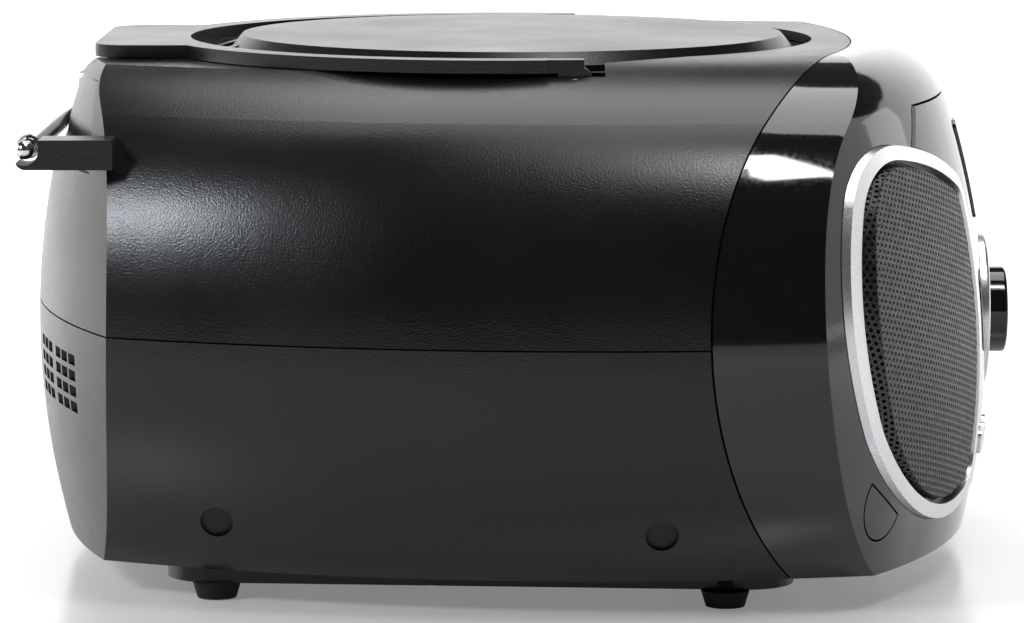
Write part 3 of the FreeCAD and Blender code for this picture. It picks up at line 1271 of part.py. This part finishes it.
def aerial_bracket():
    block = box(ROD_PIVOT_X - 7, ROD_PIVOT_X + 8, 90.0, SWIVEL_FRONT_Y - 0.3, ROD_Z - 6.3,
                ROD_Z + 6.2)
    stud = rod(SWIVEL_STUD_RADIUS, (ROD_PIVOT_X, SWIVEL_FRONT_Y - 1, ROD_Z),
               (ROD_PIVOT_X, SWIVEL_FRONT_Y + 2.0, ROD_Z))
    return block.cut(OUTER).fuse(stud).removeSplitter()


def aerial_swivel():
    drum = rod(SWIVEL_RADIUS, (ROD_PIVOT_X, SWIVEL_FRONT_Y, ROD_Z),
               (ROD_PIVOT_X, SWIVEL_BACK_Y, ROD_Z))
    bore = rod(SWIVEL_STUD_RADIUS + RUNNING_FIT, (ROD_PIVOT_X, SWIVEL_FRONT_Y - 1, ROD_Z),
               (ROD_PIVOT_X, SWIVEL_FRONT_Y + 2.1, ROD_Z))
    slack = 0.15
    slot = box(ROD_PIVOT_X - 10, ROD_PIVOT_X + TONGUE_RADIUS + slack, ROD_Y - TONGUE_RADIUS - slack,
               FAR, ROD_Z - TONGUE_HALF - slack, ROD_Z + TONGUE_HALF + slack)
    pin = rod(0.9, (ROD_PIVOT_X, ROD_Y, ROD_Z - 4.2), (ROD_PIVOT_X, ROD_Y, ROD_Z + 4.2))
    return drum.cut([bore, slot]).fuse(pin).removeSplitter()


def tube_end(i):
    """Open end of a tube section, counted from the swivel."""
    last = len(ROD_RADII) - 1
    return ROD_TIP_X + BALL_RADIUS * 0.9 + (last - i) * TUBE_PROUD


def aerial_tube(i):
    """A tube section at rest, pushed into the one before it."""
    last = len(ROD_RADII) - 1
    start = ROD_PIVOT_X - ROD_TONGUE - i * TUBE_STEP
    bar = rod(ROD_RADII[i], (start, ROD_Y, ROD_Z), (tube_end(i), ROD_Y, ROD_Z))
    if i == 0:
        tongue = box(start - 1, ROD_PIVOT_X, ROD_Y - TONGUE_RADIUS, ROD_Y + TONGUE_RADIUS,
                     ROD_Z - TONGUE_HALF, ROD_Z + TONGUE_HALF)
        eye = rod(TONGUE_RADIUS, (ROD_PIVOT_X, ROD_Y, ROD_Z - TONGUE_HALF),
                  (ROD_PIVOT_X, ROD_Y, ROD_Z + TONGUE_HALF))
        hole = rod(0.9 + RUNNING_FIT, (ROD_PIVOT_X, ROD_Y, ROD_Z - 3),
                   (ROD_PIVOT_X, ROD_Y, ROD_Z + 3))
        bar = bar.fuse([tongue, eye]).cut(hole).removeSplitter()
    if i == last:
        return bar.fuse(Part.makeSphere(BALL_RADIUS, V(ROD_TIP_X, ROD_Y, ROD_Z))).removeSplitter()
    bore_start = ROD_PIVOT_X - ROD_TONGUE - (i + 1) * TUBE_STEP
    bore = rod(ROD_RADII[i + 1] + TUBE_FIT, (bore_start + 0.5, ROD_Y, ROD_Z),
               (tube_end(i) - 1, ROD_Y, ROD_Z))
    return bar.cut(bore)


def make_pieces():
    """Every node of the radio, by name."""
    pieces = {
        "upper_case": upper_case(),
        "lower_case": lower_case(),
        "front_cabinet": front_cabinet(),
        "centre_panel": centre_panel(),
        "display_window": display_window(),
        "display_module": display_module(),
        "dial_ring": dial_ring(),
        "volume_knob": volume_knob(),
        "volume_control": volume_control(),
        "front_board": front_board(),
        "key_board": key_board(),
        "jack_cover": jack_cover(),
        "jack_sockets": jack_sockets(),
        "cd_deck": cd_deck(),
        "cd_lid": cd_lid(),
        "lid_latch": lid_latch(),
        "handle": handle(),
        "hinge_pins": Part.Compound(handle_pins() + [lid_pin(s, 0) for s in (-1, 1)]),
        "mechanism_chassis": mechanism_chassis(),
        "mechanism_dampers": Part.Compound(dampers()),
        "small_screws": Part.Compound(damper_screws() + board_screws()),
        "guide_rod": guide_rod(),
        "spindle_motor": spindle_motor(),
        "turntable_hub": turntable_hub(),
        "sled_motor": sled_motor(),
        "sled_gear": sled_gear(),
        "laser_sled": laser_sled(),
        "main_board": main_board(),
        "board_parts": Part.Compound(board_parts()),
        "heat_sink": heat_sink(),
        "ferrite_aerial": ferrite_aerial(),
        "transformer": transformer(),
        "mains_inlet": mains_inlet(),
        "battery_contacts": Part.Compound(battery_contacts()),
        "battery_door": battery_door(),
        "feet": Part.Compound(feet()),
        "case_screws": Part.Compound(case_screws()),
        "aerial_rest": aerial_rest(),
        "aerial_bracket": aerial_bracket(),
        "aerial_swivel": aerial_swivel(),
    }
    for maker in (speaker_ring, speaker_grille, speaker_frame, speaker_cone, speaker_magnet):
        left = maker()
        pieces[maker.__name__ + "_left"] = left
        pieces[maker.__name__ + "_right"] = mirrored(left)
    for name, x in key_places():
        pieces[name] = key(x)
    for i in range(len(ROD_RADII)):
        pieces["aerial_tube_" + str(i + 1)] = aerial_tube(i)
    return pieces


# The origin goes under the middle of the object's whole depth
ORIGIN_SHIFT = -(KNOB_FACE_Y + BACK_REACH) / 2


def main():
    os.makedirs("parts", exist_ok=True)
    for name, shape in make_pieces().items():
        moved = shape.copy()
        moved.translate(V(0, ORIGIN_SHIFT, 0))
        moved.exportStep("parts/" + name + ".step")
        print(name, len(moved.Solids), "solids, valid", moved.isValid(), round(moved.Volume))


main()
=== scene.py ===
import json
import math

import bpy
import numpy as np
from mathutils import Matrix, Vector


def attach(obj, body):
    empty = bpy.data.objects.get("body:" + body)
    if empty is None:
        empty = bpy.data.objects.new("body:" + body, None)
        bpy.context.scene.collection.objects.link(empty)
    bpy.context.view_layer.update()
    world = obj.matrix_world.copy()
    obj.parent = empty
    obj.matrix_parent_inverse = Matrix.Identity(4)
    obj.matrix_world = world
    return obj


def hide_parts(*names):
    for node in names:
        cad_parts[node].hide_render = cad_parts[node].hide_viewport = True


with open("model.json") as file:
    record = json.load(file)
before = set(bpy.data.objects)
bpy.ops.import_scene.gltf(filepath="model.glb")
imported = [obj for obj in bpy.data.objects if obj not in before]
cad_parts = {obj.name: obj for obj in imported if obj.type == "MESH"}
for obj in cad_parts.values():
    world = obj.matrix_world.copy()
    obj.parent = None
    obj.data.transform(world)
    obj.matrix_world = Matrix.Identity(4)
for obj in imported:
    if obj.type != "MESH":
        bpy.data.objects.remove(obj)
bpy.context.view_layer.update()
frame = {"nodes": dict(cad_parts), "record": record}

NODES = frame["nodes"]
MM = 0.001

# The part's own numbers, in mm about the lid's centre, with the shift to the row frame
Y_SHIFT = 3.2
FRONT_BOW = 187.0
FRONT_REACH = 122.7
FRONT_CURVE = 8.85
FRONT_WIDEST_Z = 51.4
CURVE_SPAN = 60.0
RING_FLANKS = ((-56.3, 69.6, 62.5), (-104.5, -18.5, 130.9), (-541.6, 55.5, 497.0),
               (-68.5, 68.3, 51.1))
RING_CORNERS = (23.8, 8.5, 11.0, 19.8)
RING_INNER = -3.65
SPEAKER_Z = 63.0
GRILLE_BOW = 250.0
GRILLE_X = (-115.0, -50.0)
GRILLE_PROUD = (5.0, 1.5)

# Levels of the studio
WORLD_SEEN = 0.94
WORLD_FILL = 0.05
FLOOR_ROUGHNESS = 0.2
# Floor glow next to the object is set lower than far off: painted shade around and under the
# object
FLOOR_NEAR_GLOW_PAINTED_SHADE = 0.2
FLOOR_FAR_GLOW = 0.9
FLOOR_MIRRORED_GLOW = 0.7

# Perforated sheet of the grilles
HOLE_PITCH = 1.73
HOLE_RADIUS = 0.56
HOLE_SIDES = 12
ROW_LEAN = -14.0
SHEET = 0.5
FOLD_INSET = 1.5
WALL_LEAN = 0.2
WALL_SINK = 1.4


def front_y(x, z):
    bow = FRONT_BOW - FRONT_CURVE * ((z - FRONT_WIDEST_Z) / CURVE_SPAN) ** 2
    return FRONT_BOW - FRONT_REACH - np.sqrt(bow ** 2 - x ** 2)


# Camera at the photograph's place
def set_camera():
    data = bpy.data.cameras.new("camera")
    data.sensor_width = 36.0
    data.lens = 162.25
    camera = bpy.data.objects.new("camera", data)
    bpy.context.scene.collection.objects.link(camera)
    camera.location = (-1.2, Y_SHIFT * MM, 0.21734)
    camera.rotation_euler = (math.pi / 2 - 0.131, 0, -math.pi / 2)
    bpy.context.scene.camera = camera


# Material helpers
class Tree:
    """A material's node tree, with short calls for the nodes that the finishes share."""

    def __init__(self, name):
        self.material = bpy.data.materials.new(name)
        self.material.use_nodes = True
        self.nodes = self.material.node_tree.nodes
        self.links = self.material.node_tree.links
        self.shader = self.nodes["Principled BSDF"]
        self.output = self.nodes["Material Output"]
        self.place = self.nodes.new("ShaderNodeTexCoord").outputs["Object"]

    def set(self, **values):
        for name, value in values.items():
            self.shader.inputs[name.replace("_", " ")].default_value = value

    def noise(self, scale, detail=2.0, rough=0.5, stretch=None):
        place = self.place
        if stretch:
            mapping = self.nodes.new("ShaderNodeMapping")
            mapping.inputs["Scale"].default_value = stretch
            self.links.new(place, mapping.inputs["Vector"])
            place = mapping.outputs["Vector"]
        node = self.nodes.new("ShaderNodeTexNoise")
        node.inputs["Scale"].default_value = scale
        node.inputs["Detail"].default_value = detail
        node.inputs["Roughness"].default_value = rough
        self.links.new(place, node.inputs["Vector"])
        return node.outputs["Fac"]

    def cells(self, scale, feature="F1"):
        node = self.nodes.new("ShaderNodeTexVoronoi")
        node.feature = feature
        node.inputs["Scale"].default_value = scale
        self.links.new(self.place, node.inputs["Vector"])
        return node.outputs["Distance"]

    def span(self, source, low, high, from_low=0.3, from_high=0.7):
        node = self.nodes.new("ShaderNodeMapRange")
        node.inputs["From Min"].default_value = from_low
        node.inputs["From Max"].default_value = from_high
        node.inputs["To Min"].default_value = low
        node.inputs["To Max"].default_value = high
        self.links.new(source, node.inputs["Value"])
        return node.outputs["Result"]

    def tint(self, source, dark, light):
        node = self.nodes.new("ShaderNodeMix")
        node.data_type = "RGBA"
        node.inputs["A"].default_value = (*dark, 1)
        node.inputs["B"].default_value = (*light, 1)
        self.links.new(source, node.inputs["Factor"])
        self.links.new(node.outputs["Result"], self.shader.inputs["Base Color"])

    def roughness(self, source, low, high):
        self.links.new(self.span(source, low, high), self.shader.inputs["Roughness"])

    def bump(self, source, strength, distance, before=None):
        node = self.nodes.new("ShaderNodeBump")
        node.inputs["Strength"].default_value = strength
        node.inputs["Distance"].default_value = distance
        self.links.new(source, node.inputs["Height"])
        if before:
            self.links.new(before, node.inputs["Normal"])
        self.links.new(node.outputs["Normal"], self.shader.inputs["Normal"])
        return node.outputs["Normal"]


def grained_plastic(name, dark, light, rough, grain=1500.0, strength=0.35):
    """Moulded case plastic with a fine spark-eroded grain."""
    tree = Tree(name)
    tree.set(Specular_IOR_Level=0.45)
    wide = tree.noise(24.0, 3.0)
    fine = tree.noise(grain, 1.0)
    tree.tint(tree.span(wide, 0, 1), dark, light)
    tree.roughness(wide, rough - 0.03, rough + 0.04)
    tree.bump(fine, strength, 0.00012)
    return tree.material


def gloss_plastic(name, dark, light, rough=0.05):
    """Polished moulded plastic: faint waves, fine dust and hairlines."""
    tree = Tree(name)
    tree.set(Specular_IOR_Level=0.5, Coat_Weight=0.3, Coat_Roughness=0.03)
    wave = tree.noise(22.0, 2.0)
    wipe = tree.noise(900.0, 1.0, stretch=(0.2, 1.0, 1.0))
    tree.tint(tree.span(wave, 0, 1), dark, light)
    tree.roughness(wipe, rough, rough + 0.05)
    tree.bump(wave, 0.05, 0.001)
    return tree.material


def satin_silver(name, colour, rough=0.28):
    """Silver plated trim with a very fine brushed break-up."""
    tree = Tree(name)
    tree.set(Metallic=0.9)
    brush = tree.noise(2600.0, 1.0)
    darker = [c * 0.96 for c in colour]
    tree.tint(tree.span(brush, 0, 1), darker, colour)
    tree.roughness(brush, rough - 0.02, rough + 0.04)
    tree.bump(brush, 0.03, 0.00002)
    return tree.material


def plain_metal(name, colour, rough=0.3, streak=(1.0, 1.0, 1.0)):
    tree = Tree(name)
    tree.set(Metallic=1.0)
    grain = tree.noise(500.0, 3.0, stretch=streak)
    darker = [c * 0.75 for c in colour]
    tree.tint(tree.span(grain, 0, 1), darker, colour)
    tree.roughness(grain, rough - 0.08, rough + 0.1)
    tree.bump(grain, 0.08, 0.00005)
    return tree.material


def soft_rubber(name, dark, light):
    tree = Tree(name)
    tree.set(Specular_IOR_Level=0.3)
    cloud = tree.noise(60.0, 3.0)
    fine = tree.noise(2400.0, 1.0)
    tree.tint(tree.span(cloud, 0, 1), dark, light)
    tree.roughness(cloud, 0.62, 0.8)
    tree.bump(fine, 0.3, 0.00008)
    return tree.material


def board_laminate(name):
    """Green circuit board with a hint of tracks under the lacquer."""
    tree = Tree(name)
    tracks = tree.cells(220.0, "DISTANCE_TO_EDGE")
    tree.tint(tree.span(tracks, 0, 1, 0.0, 0.08), (0.015, 0.07, 0.03), (0.03, 0.13, 0.055))
    tree.set(Roughness=0.35)
    tree.bump(tracks, 0.1, 0.00005)
    return tree.material


def paper_cone(name):
    tree = Tree(name)
    fibre = tree.noise(420.0, 5.0, 0.7)
    tree.tint(tree.span(fibre, 0, 1), (0.012, 0.012, 0.013), (0.04, 0.04, 0.042))
    tree.set(Roughness=0.85)
    tree.bump(fibre, 0.5, 0.0002)
    return tree.material


def window_plastic(name):
    """Dark clear window over the display."""
    tree = Tree(name)
    haze = tree.noise(35.0, 2.0)
    tree.tint(tree.span(haze, 0, 1), (0.008, 0.009, 0.010), (0.013, 0.014, 0.015))
    tree.set(Specular_IOR_Level=0.6, Coat_Weight=0.5, Coat_Roughness=0.02)
    tree.roughness(haze, 0.04, 0.08)
    return tree.material


def lcd_glass(name):
    tree = Tree(name)
    pixel = tree.cells(900.0)
    tree.tint(tree.span(pixel, 0, 1), (0.16, 0.19, 0.15), (0.24, 0.28, 0.22))
    tree.set(Roughness=0.25)
    return tree.material


def make_finishes():
    black = grained_plastic("case_black_grain", (0.004, 0.004, 0.0045), (0.006, 0.006, 0.0065),
                            0.27, 2200.0, 0.45)
    return {
        "case_plastic": black,
        "gloss_black": gloss_plastic("cabinet_gloss_black", (0.005, 0.005, 0.006),
                                     (0.008, 0.008, 0.009)),
        "silver_trim": satin_silver("silver_trim", (0.80, 0.81, 0.82)),
        "grille_metal": plain_metal("grille_dark_metal", (0.10, 0.10, 0.105), 0.42),
        "window_plastic": window_plastic("display_window_dark"),
        "lcd_glass": lcd_glass("display_glass"),
        "board": board_laminate("board_green"),
        "part_black": grained_plastic("moulded_part_black", (0.012, 0.012, 0.012),
                                      (0.02, 0.02, 0.021), 0.45, 900.0, 0.2),
        "steel": plain_metal("bright_steel", (0.60, 0.60, 0.61), 0.32),
        "aerial_steel": plain_metal("aerial_chrome", (0.80, 0.80, 0.81), 0.14, (0.05, 1.0, 1.0)),
        "aluminium_fins": plain_metal("fin_aluminium", (0.75, 0.76, 0.77), 0.35),
        "rubber_black": soft_rubber("foot_rubber", (0.010, 0.010, 0.010), (0.018, 0.018, 0.018)),
        "white_plastic": grained_plastic("gear_white", (0.62, 0.61, 0.57), (0.72, 0.71, 0.67),
                                         0.4, 800.0, 0.1),
        "paper_cone": paper_cone("cone_paper"),
        "magnet": grained_plastic("ferrite_grey", (0.035, 0.035, 0.037), (0.06, 0.06, 0.062),
                                  0.6, 500.0, 0.3),
        "copper_iron": grained_plastic("varnished_winding", (0.16, 0.07, 0.03),
                                       (0.26, 0.12, 0.05), 0.4, 500.0, 0.4),
        "contact_metal": plain_metal("contact_nickel", (0.66, 0.65, 0.62), 0.25),
    }


FINISH = make_finishes()
SLOT_OF = {part["node"]: part["material_slot"] for part in frame["record"]["subparts"]}
OWN_FINISH = {"jack_cover": gloss_plastic("cover_polished_black", (0.006, 0.006, 0.007),
                                          (0.010, 0.010, 0.011), 0.09)}


def finish_nodes():
    for name, node in NODES.items():
        node.data.materials.clear()
        node.data.materials.append(OWN_FINISH.get(name, FINISH[SLOT_OF[name]]))


# Perforated speaker grilles
def corner_hub(first, second, corner):
    """Centre of the arc that rounds the corner where one flank of the ring meets the next."""
    start = np.array(first[:2])
    way = np.array(second[:2]) - start
    gap = np.hypot(*way)
    way = way / gap
    reach, other = first[2] - corner, second[2] - corner
    along = (reach ** 2 - other ** 2 + gap ** 2) / (2 * gap)
    across = math.sqrt(reach ** 2 - along ** 2)
    return start + way * along + np.array([way[1], -way[0]]) * across


def ring_outline(grow, spacing=0.7):
    """Points and outward ways along the left ring's outline, grown or shrunk evenly."""
    count = len(RING_FLANKS)
    hubs = [corner_hub(RING_FLANKS[i], RING_FLANKS[(i + 1) % count], RING_CORNERS[i])
            for i in range(count)]
    points, ways = [], []

    def sweep(centre, radius, start, end):
        first = math.atan2(start[1], start[0])
        turn = (math.atan2(end[1], end[0]) - first + math.pi) % (2 * math.pi) - math.pi
        steps = max(3, int(abs(turn) * radius / spacing))
        for k in range(steps):
            angle = first + turn * k / steps
            way = np.array([math.cos(angle), math.sin(angle)])
            points.append(centre + way * radius)
            ways.append(way)

    for i in range(count):
        here = np.array(RING_FLANKS[i][:2])
        after = np.array(RING_FLANKS[(i + 1) % count][:2])
        sweep(here, RING_FLANKS[i][2] + grow, hubs[i - 1] - here, hubs[i] - here)
        sweep(hubs[i], RING_CORNERS[i] + grow, hubs[i] - here, hubs[i] - after)
    return np.array(points), np.array(ways)


def fold_distance(plan, outline):
    """How far each place lies outside the fold line, and the line's outward way there."""
    points, ways = outline
    nearest = np.empty(len(plan), int)
    for start in range(0, len(plan), 4000):
        part = plan[start:start + 4000]
        gaps = ((part[:, None, :] - points[None, :, :]) ** 2).sum(axis=2)
        nearest[start:start + 4000] = gaps.argmin(axis=1)
    way = ways[nearest]
    return ((plan - points[nearest]) * way).sum(axis=1), way


def grille_y(x, z):
    """Front surface of the left grille."""
    ends = [np.array([gx, front_y(gx, SPEAKER_Z) - proud])
            for gx, proud in zip(GRILLE_X, GRILLE_PROUD)]
    chord = ends[1] - ends[0]
    length = np.hypot(*chord)
    reach = math.sqrt(GRILLE_BOW ** 2 - (length / 2) ** 2)
    centre = (ends[0] + ends[1]) / 2 + np.array([-chord[1], chord[0]]) / length * reach
    bow = GRILLE_BOW - FRONT_CURVE * ((z - FRONT_WIDEST_Z) / CURVE_SPAN) ** 2
    return centre[1] - np.sqrt(bow ** 2 - (x - centre[0]) ** 2)


def wall_depth(plan):
    """Length of the folded edge, from the grille's front down into the ring."""
    x, z = plan[:, 0], plan[:, 1]
    return np.maximum(front_y(x, z) - grille_y(x, z), 0) + WALL_SINK


def lattice_mesh(outline):
    """A loose point at the middle of every hole, in rows that lean down to the middle."""
    low, high = outline[0].min(axis=0) - 9, outline[0].max(axis=0) + 9
    middle = (low + high) / 2
    span = int(max(high - low) / HOLE_PITCH)
    lean = math.radians(ROW_LEAN)
    along = np.array([math.cos(lean), math.sin(lean)]) * HOLE_PITCH
    up = np.array([-math.sin(lean), math.cos(lean)]) * HOLE_PITCH * math.sqrt(0.75)
    rows, places = np.meshgrid(np.arange(-span, span + 1), np.arange(-span, span + 1))
    rows, places = rows.ravel(), places.ravel()
    plan = middle + np.outer(places + (rows % 2) / 2, along) + np.outer(rows, up)
    reach, way = fold_distance(plan, outline)
    foot = plan - way * reach[:, None]
    kept = plan[reach < np.where(reach > 0, wall_depth(foot), 1)]
    mesh = bpy.data.meshes.new("grille_hole_places")
    mesh.from_pydata([(x, 0, z) for x, z in kept], [], [])
    return mesh


def hole_cell():
    """A six-sided patch of sheet with one round hole, front and back and the hole's wall."""
    verts, faces = [], []
    for y in (0, SHEET):
        for radius in (None, HOLE_RADIUS):
            for k in range(HOLE_SIDES):
                angle = 2 * math.pi * (k + 0.5) / HOLE_SIDES
                out = radius
                if radius is None:
                    slant = (angle + math.pi / 6) % (math.pi / 3) - math.pi / 6
                    out = HOLE_PITCH / 2 / math.cos(slant)
                verts.append((out * math.cos(angle), y, out * math.sin(angle)))
    n = HOLE_SIDES
    for k in range(n):
        j = (k + 1) % n
        faces.append((k, j, n + j, n + k))
        faces.append((n + k, n + j, 3 * n + j, 3 * n + k))
        faces.append((3 * n + k, 3 * n + j, 2 * n + j, 2 * n + k))
    mesh = bpy.data.meshes.new("hole_cell")
    mesh.from_pydata(verts, [], faces)
    return bpy.data.objects.new("hole_cell", mesh)


def perforation_tree(material):
    """Node tree that puts a sheet cell on every point and joins the cells to one sheet."""
    tree = bpy.data.node_groups.new("perforated_sheet", "GeometryNodeTree")
    face = tree.interface
    face.new_socket("Geometry", in_out="INPUT", socket_type="NodeSocketGeometry")
    face.new_socket("Cell", in_out="INPUT", socket_type="NodeSocketObject")
    face.new_socket("Row Lean", in_out="INPUT", socket_type="NodeSocketFloat")
    face.new_socket("Weld Distance", in_out="INPUT", socket_type="NodeSocketFloat")
    face.new_socket("Geometry", in_out="OUTPUT", socket_type="NodeSocketGeometry")
    nodes, links = tree.nodes, tree.links
    entry, end = nodes.new("NodeGroupInput"), nodes.new("NodeGroupOutput")
    cell = nodes.new("GeometryNodeObjectInfo")
    turn = nodes.new("ShaderNodeCombineXYZ")
    spread = nodes.new("GeometryNodeInstanceOnPoints")
    real = nodes.new("GeometryNodeRealizeInstances")
    weld = nodes.new("GeometryNodeMergeByDistance")
    paint = nodes.new("GeometryNodeSetMaterial")
    paint.inputs["Material"].default_value = material
    links.new(entry.outputs["Cell"], cell.inputs["Object"])
    links.new(entry.outputs["Row Lean"], turn.inputs["Y"])
    links.new(entry.outputs["Geometry"], spread.inputs["Points"])
    links.new(cell.outputs["Geometry"], spread.inputs["Instance"])
    links.new(turn.outputs["Vector"], spread.inputs["Rotation"])
    links.new(spread.outputs["Instances"], real.inputs["Geometry"])
    links.new(real.outputs["Geometry"], weld.inputs["Geometry"])
    links.new(entry.outputs["Weld Distance"], weld.inputs["Distance"])
    links.new(weld.outputs["Geometry"], paint.inputs["Geometry"])
    links.new(paint.outputs["Geometry"], end.inputs["Geometry"])
    return tree


def flat_sheet(outline):
    """The flat perforated sheet, in mm, as a plain mesh."""
    places = bpy.data.objects.new("grille_hole_places", lattice_mesh(outline))
    cell = hole_cell()
    for obj in (places, cell):
        bpy.context.scene.collection.objects.link(obj)
    change = places.modifiers.new("perforation", "NODES")
    change.node_group = perforation_tree(FINISH["grille_metal"])
    values = {"Cell": cell, "Row Lean": -math.radians(ROW_LEAN), "Weld Distance": 0.02}
    for socket in change.node_group.interface.items_tree:
        if socket.in_out == "INPUT" and socket.name in values:
            change[socket.identifier] = values[socket.name]
    bpy.context.view_layer.update()
    graph = bpy.context.evaluated_depsgraph_get()
    mesh = bpy.data.meshes.new_from_object(places.evaluated_get(graph))
    places.modifiers.remove(change)
    for obj in (places, cell):
        bpy.data.objects.remove(obj)
    return mesh


def make_grilles():
    outline = ring_outline(RING_INNER - FOLD_INSET)
    mesh = flat_sheet(outline)
    count = len(mesh.vertices)
    flat = np.empty(count * 3)
    mesh.vertices.foreach_get("co", flat)
    flat = flat.reshape(count, 3)
    plan, layer = flat[:, [0, 2]], flat[:, 1]
    reach, way = fold_distance(plan, outline)
    down = np.clip(reach, 0, None)
    foot = plan - way * down[:, None]
    ease = np.clip(reach / 0.8 + 0.5, 0, 1)
    spot = foot + way * (down * WALL_LEAN - ease * layer)[:, None]
    depth = grille_y(foot[:, 0], foot[:, 1]) + down + (1 - ease) * layer
    for side, name in ((1, "left"), (-1, "right")):
        shaped = mesh if side == 1 else mesh.copy()
        place = np.column_stack((side * spot[:, 0], depth + Y_SHIFT, spot[:, 1])) * MM
        shaped.vertices.foreach_set("co", place.ravel())
        if side == -1:
            shaped.flip_normals()
        shaped.update()
        grille = bpy.data.objects.new("perforated_grille_" + name, shaped)
        bpy.context.scene.collection.objects.link(grille)
        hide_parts("speaker_grille_" + name)
        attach(grille, "case")


# Floor, background and lamps
def make_floor():
    """White glossy floor. What the camera sees of it grows to full white away from the object;
    its dimmer glow near the object is painted shade around and under it.
    """
    mesh = bpy.data.meshes.new("floor")
    size = 8.0
    mesh.from_pydata([(-size, -size, 0), (size, -size, 0), (size, size, 0), (-size, size, 0)],
                     [], [(0, 1, 2, 3)])
    floor = bpy.data.objects.new("floor", mesh)
    floor.location = (0, 0, -0.0002)
    bpy.context.scene.collection.objects.link(floor)
    tree = Tree("floor_white")
    tree.set(Roughness=FLOOR_ROUGHNESS, Specular_IOR_Level=0.5)
    tree.shader.inputs["Base Color"].default_value = (0.62, 0.62, 0.62, 1)
    away = tree.nodes.new("ShaderNodeVectorMath")
    away.operation = "LENGTH"
    tree.links.new(tree.place, away.inputs[0])
    # Glow rises with distance from the object: low near it as painted shade, full white far off
    painted_shade_glow = tree.span(away.outputs["Value"], FLOOR_NEAR_GLOW_PAINTED_SHADE, FLOOR_FAR_GLOW, 0.22, 0.75)
    path = tree.nodes.new("ShaderNodeLightPath")
    seen = tree.nodes.new("ShaderNodeMath")
    seen.operation = "MULTIPLY_ADD"
    seen.inputs[1].default_value = FLOOR_MIRRORED_GLOW
    product = tree.nodes.new("ShaderNodeMath")
    product.operation = "MULTIPLY"
    tree.links.new(path.outputs["Is Glossy Ray"], seen.inputs[0])
    tree.links.new(path.outputs["Is Camera Ray"], seen.inputs[2])
    tree.links.new(painted_shade_glow, product.inputs[0])
    tree.links.new(seen.outputs["Value"], product.inputs[1])
    tree.links.new(product.outputs["Value"], tree.shader.inputs["Emission Strength"])
    tree.shader.inputs["Emission Color"].default_value = (1, 1, 1, 1)
    mesh.materials.append(tree.material)


def make_backdrop():
    """Upright white board behind the object, which the floor mirrors."""
    mesh = bpy.data.meshes.new("backdrop")
    x, half, height = 1.4, 2.5, 0.8
    mesh.from_pydata([(x, -half, 0), (x, half, 0), (x, half, height), (x, -half, height)],
                     [], [(0, 1, 2, 3)])
    board = bpy.data.objects.new("backdrop", mesh)
    bpy.context.scene.collection.objects.link(board)
    tree = Tree("backdrop_white")
    tree.shader.inputs["Base Color"].default_value = (0.8, 0.8, 0.8, 1)
    tree.shader.inputs["Emission Color"].default_value = (1, 1, 1, 1)
    tree.set(Emission_Strength=1.0, Roughness=0.9)
    mesh.materials.append(tree.material)


def make_world():
    """White where the camera sees it, and a dim even fill for all other light."""
    world = bpy.data.worlds.new("studio")
    bpy.context.scene.world = world
    world.use_nodes = True
    nodes, links = world.node_tree.nodes, world.node_tree.links
    seen = nodes["Background"]
    seen.inputs["Color"].default_value = (1, 1, 1, 1)
    seen.inputs["Strength"].default_value = WORLD_SEEN
    fill = nodes.new("ShaderNodeBackground")
    fill.inputs["Color"].default_value = (1, 1, 1, 1)
    fill.inputs["Strength"].default_value = WORLD_FILL
    path = nodes.new("ShaderNodeLightPath")
    mix = nodes.new("ShaderNodeMixShader")
    links.new(path.outputs["Is Camera Ray"], mix.inputs["Fac"])
    links.new(fill.outputs["Background"], mix.inputs[1])
    links.new(seen.outputs["Background"], mix.inputs[2])
    links.new(mix.outputs["Shader"], nodes["World Output"].inputs["Surface"])


def lamp(name, place, aim, size, energy, colour=(1, 1, 1)):
    data = bpy.data.lights.new(name, "AREA")
    data.shape = "RECTANGLE"
    data.size, data.size_y = size
    data.energy = energy
    data.color = colour
    light = bpy.data.objects.new(name, data)
    bpy.context.scene.collection.objects.link(light)
    light.location = place
    direction = Vector(aim) - Vector(place)
    light.rotation_euler = direction.to_track_quat("-Z", "Y").to_euler()


def make_lamps():
    lamp("top_box", (0.35, -0.05, 1.15), (0.0, 0, 0.1), (0.9, 0.7), 7)
    lamp("shoulder_box", (-0.38, -0.1, 1.3), (-0.1, 0, 0.1), (0.35, 0.7), 2.0)
    lamp("back_left_box", (-0.60, 0.86, 0.72), (-0.08, 0.05, 0.09), (0.26, 0.26), 7.5,
         (0.88, 0.93, 1.0))
    lamp("front_box", (0.35, -1.3, 0.27), (0, -0.08, 0.07), (1.2, 0.5), 1.6)
    lamp("side_card", (-0.44, -0.30, 1.04), (-0.11, -0.07, 0.11), (0.14, 0.26), 2.6)
    lamp("back_box", (0.3, 1.3, 0.5), (0, 0.1, 0.07), (0.9, 0.7), 7)


bpy.context.scene.view_settings.view_transform = "Standard"
set_camera()
finish_nodes()
make_grilles()
make_floor()
make_backdrop()
make_world()
make_lamps()
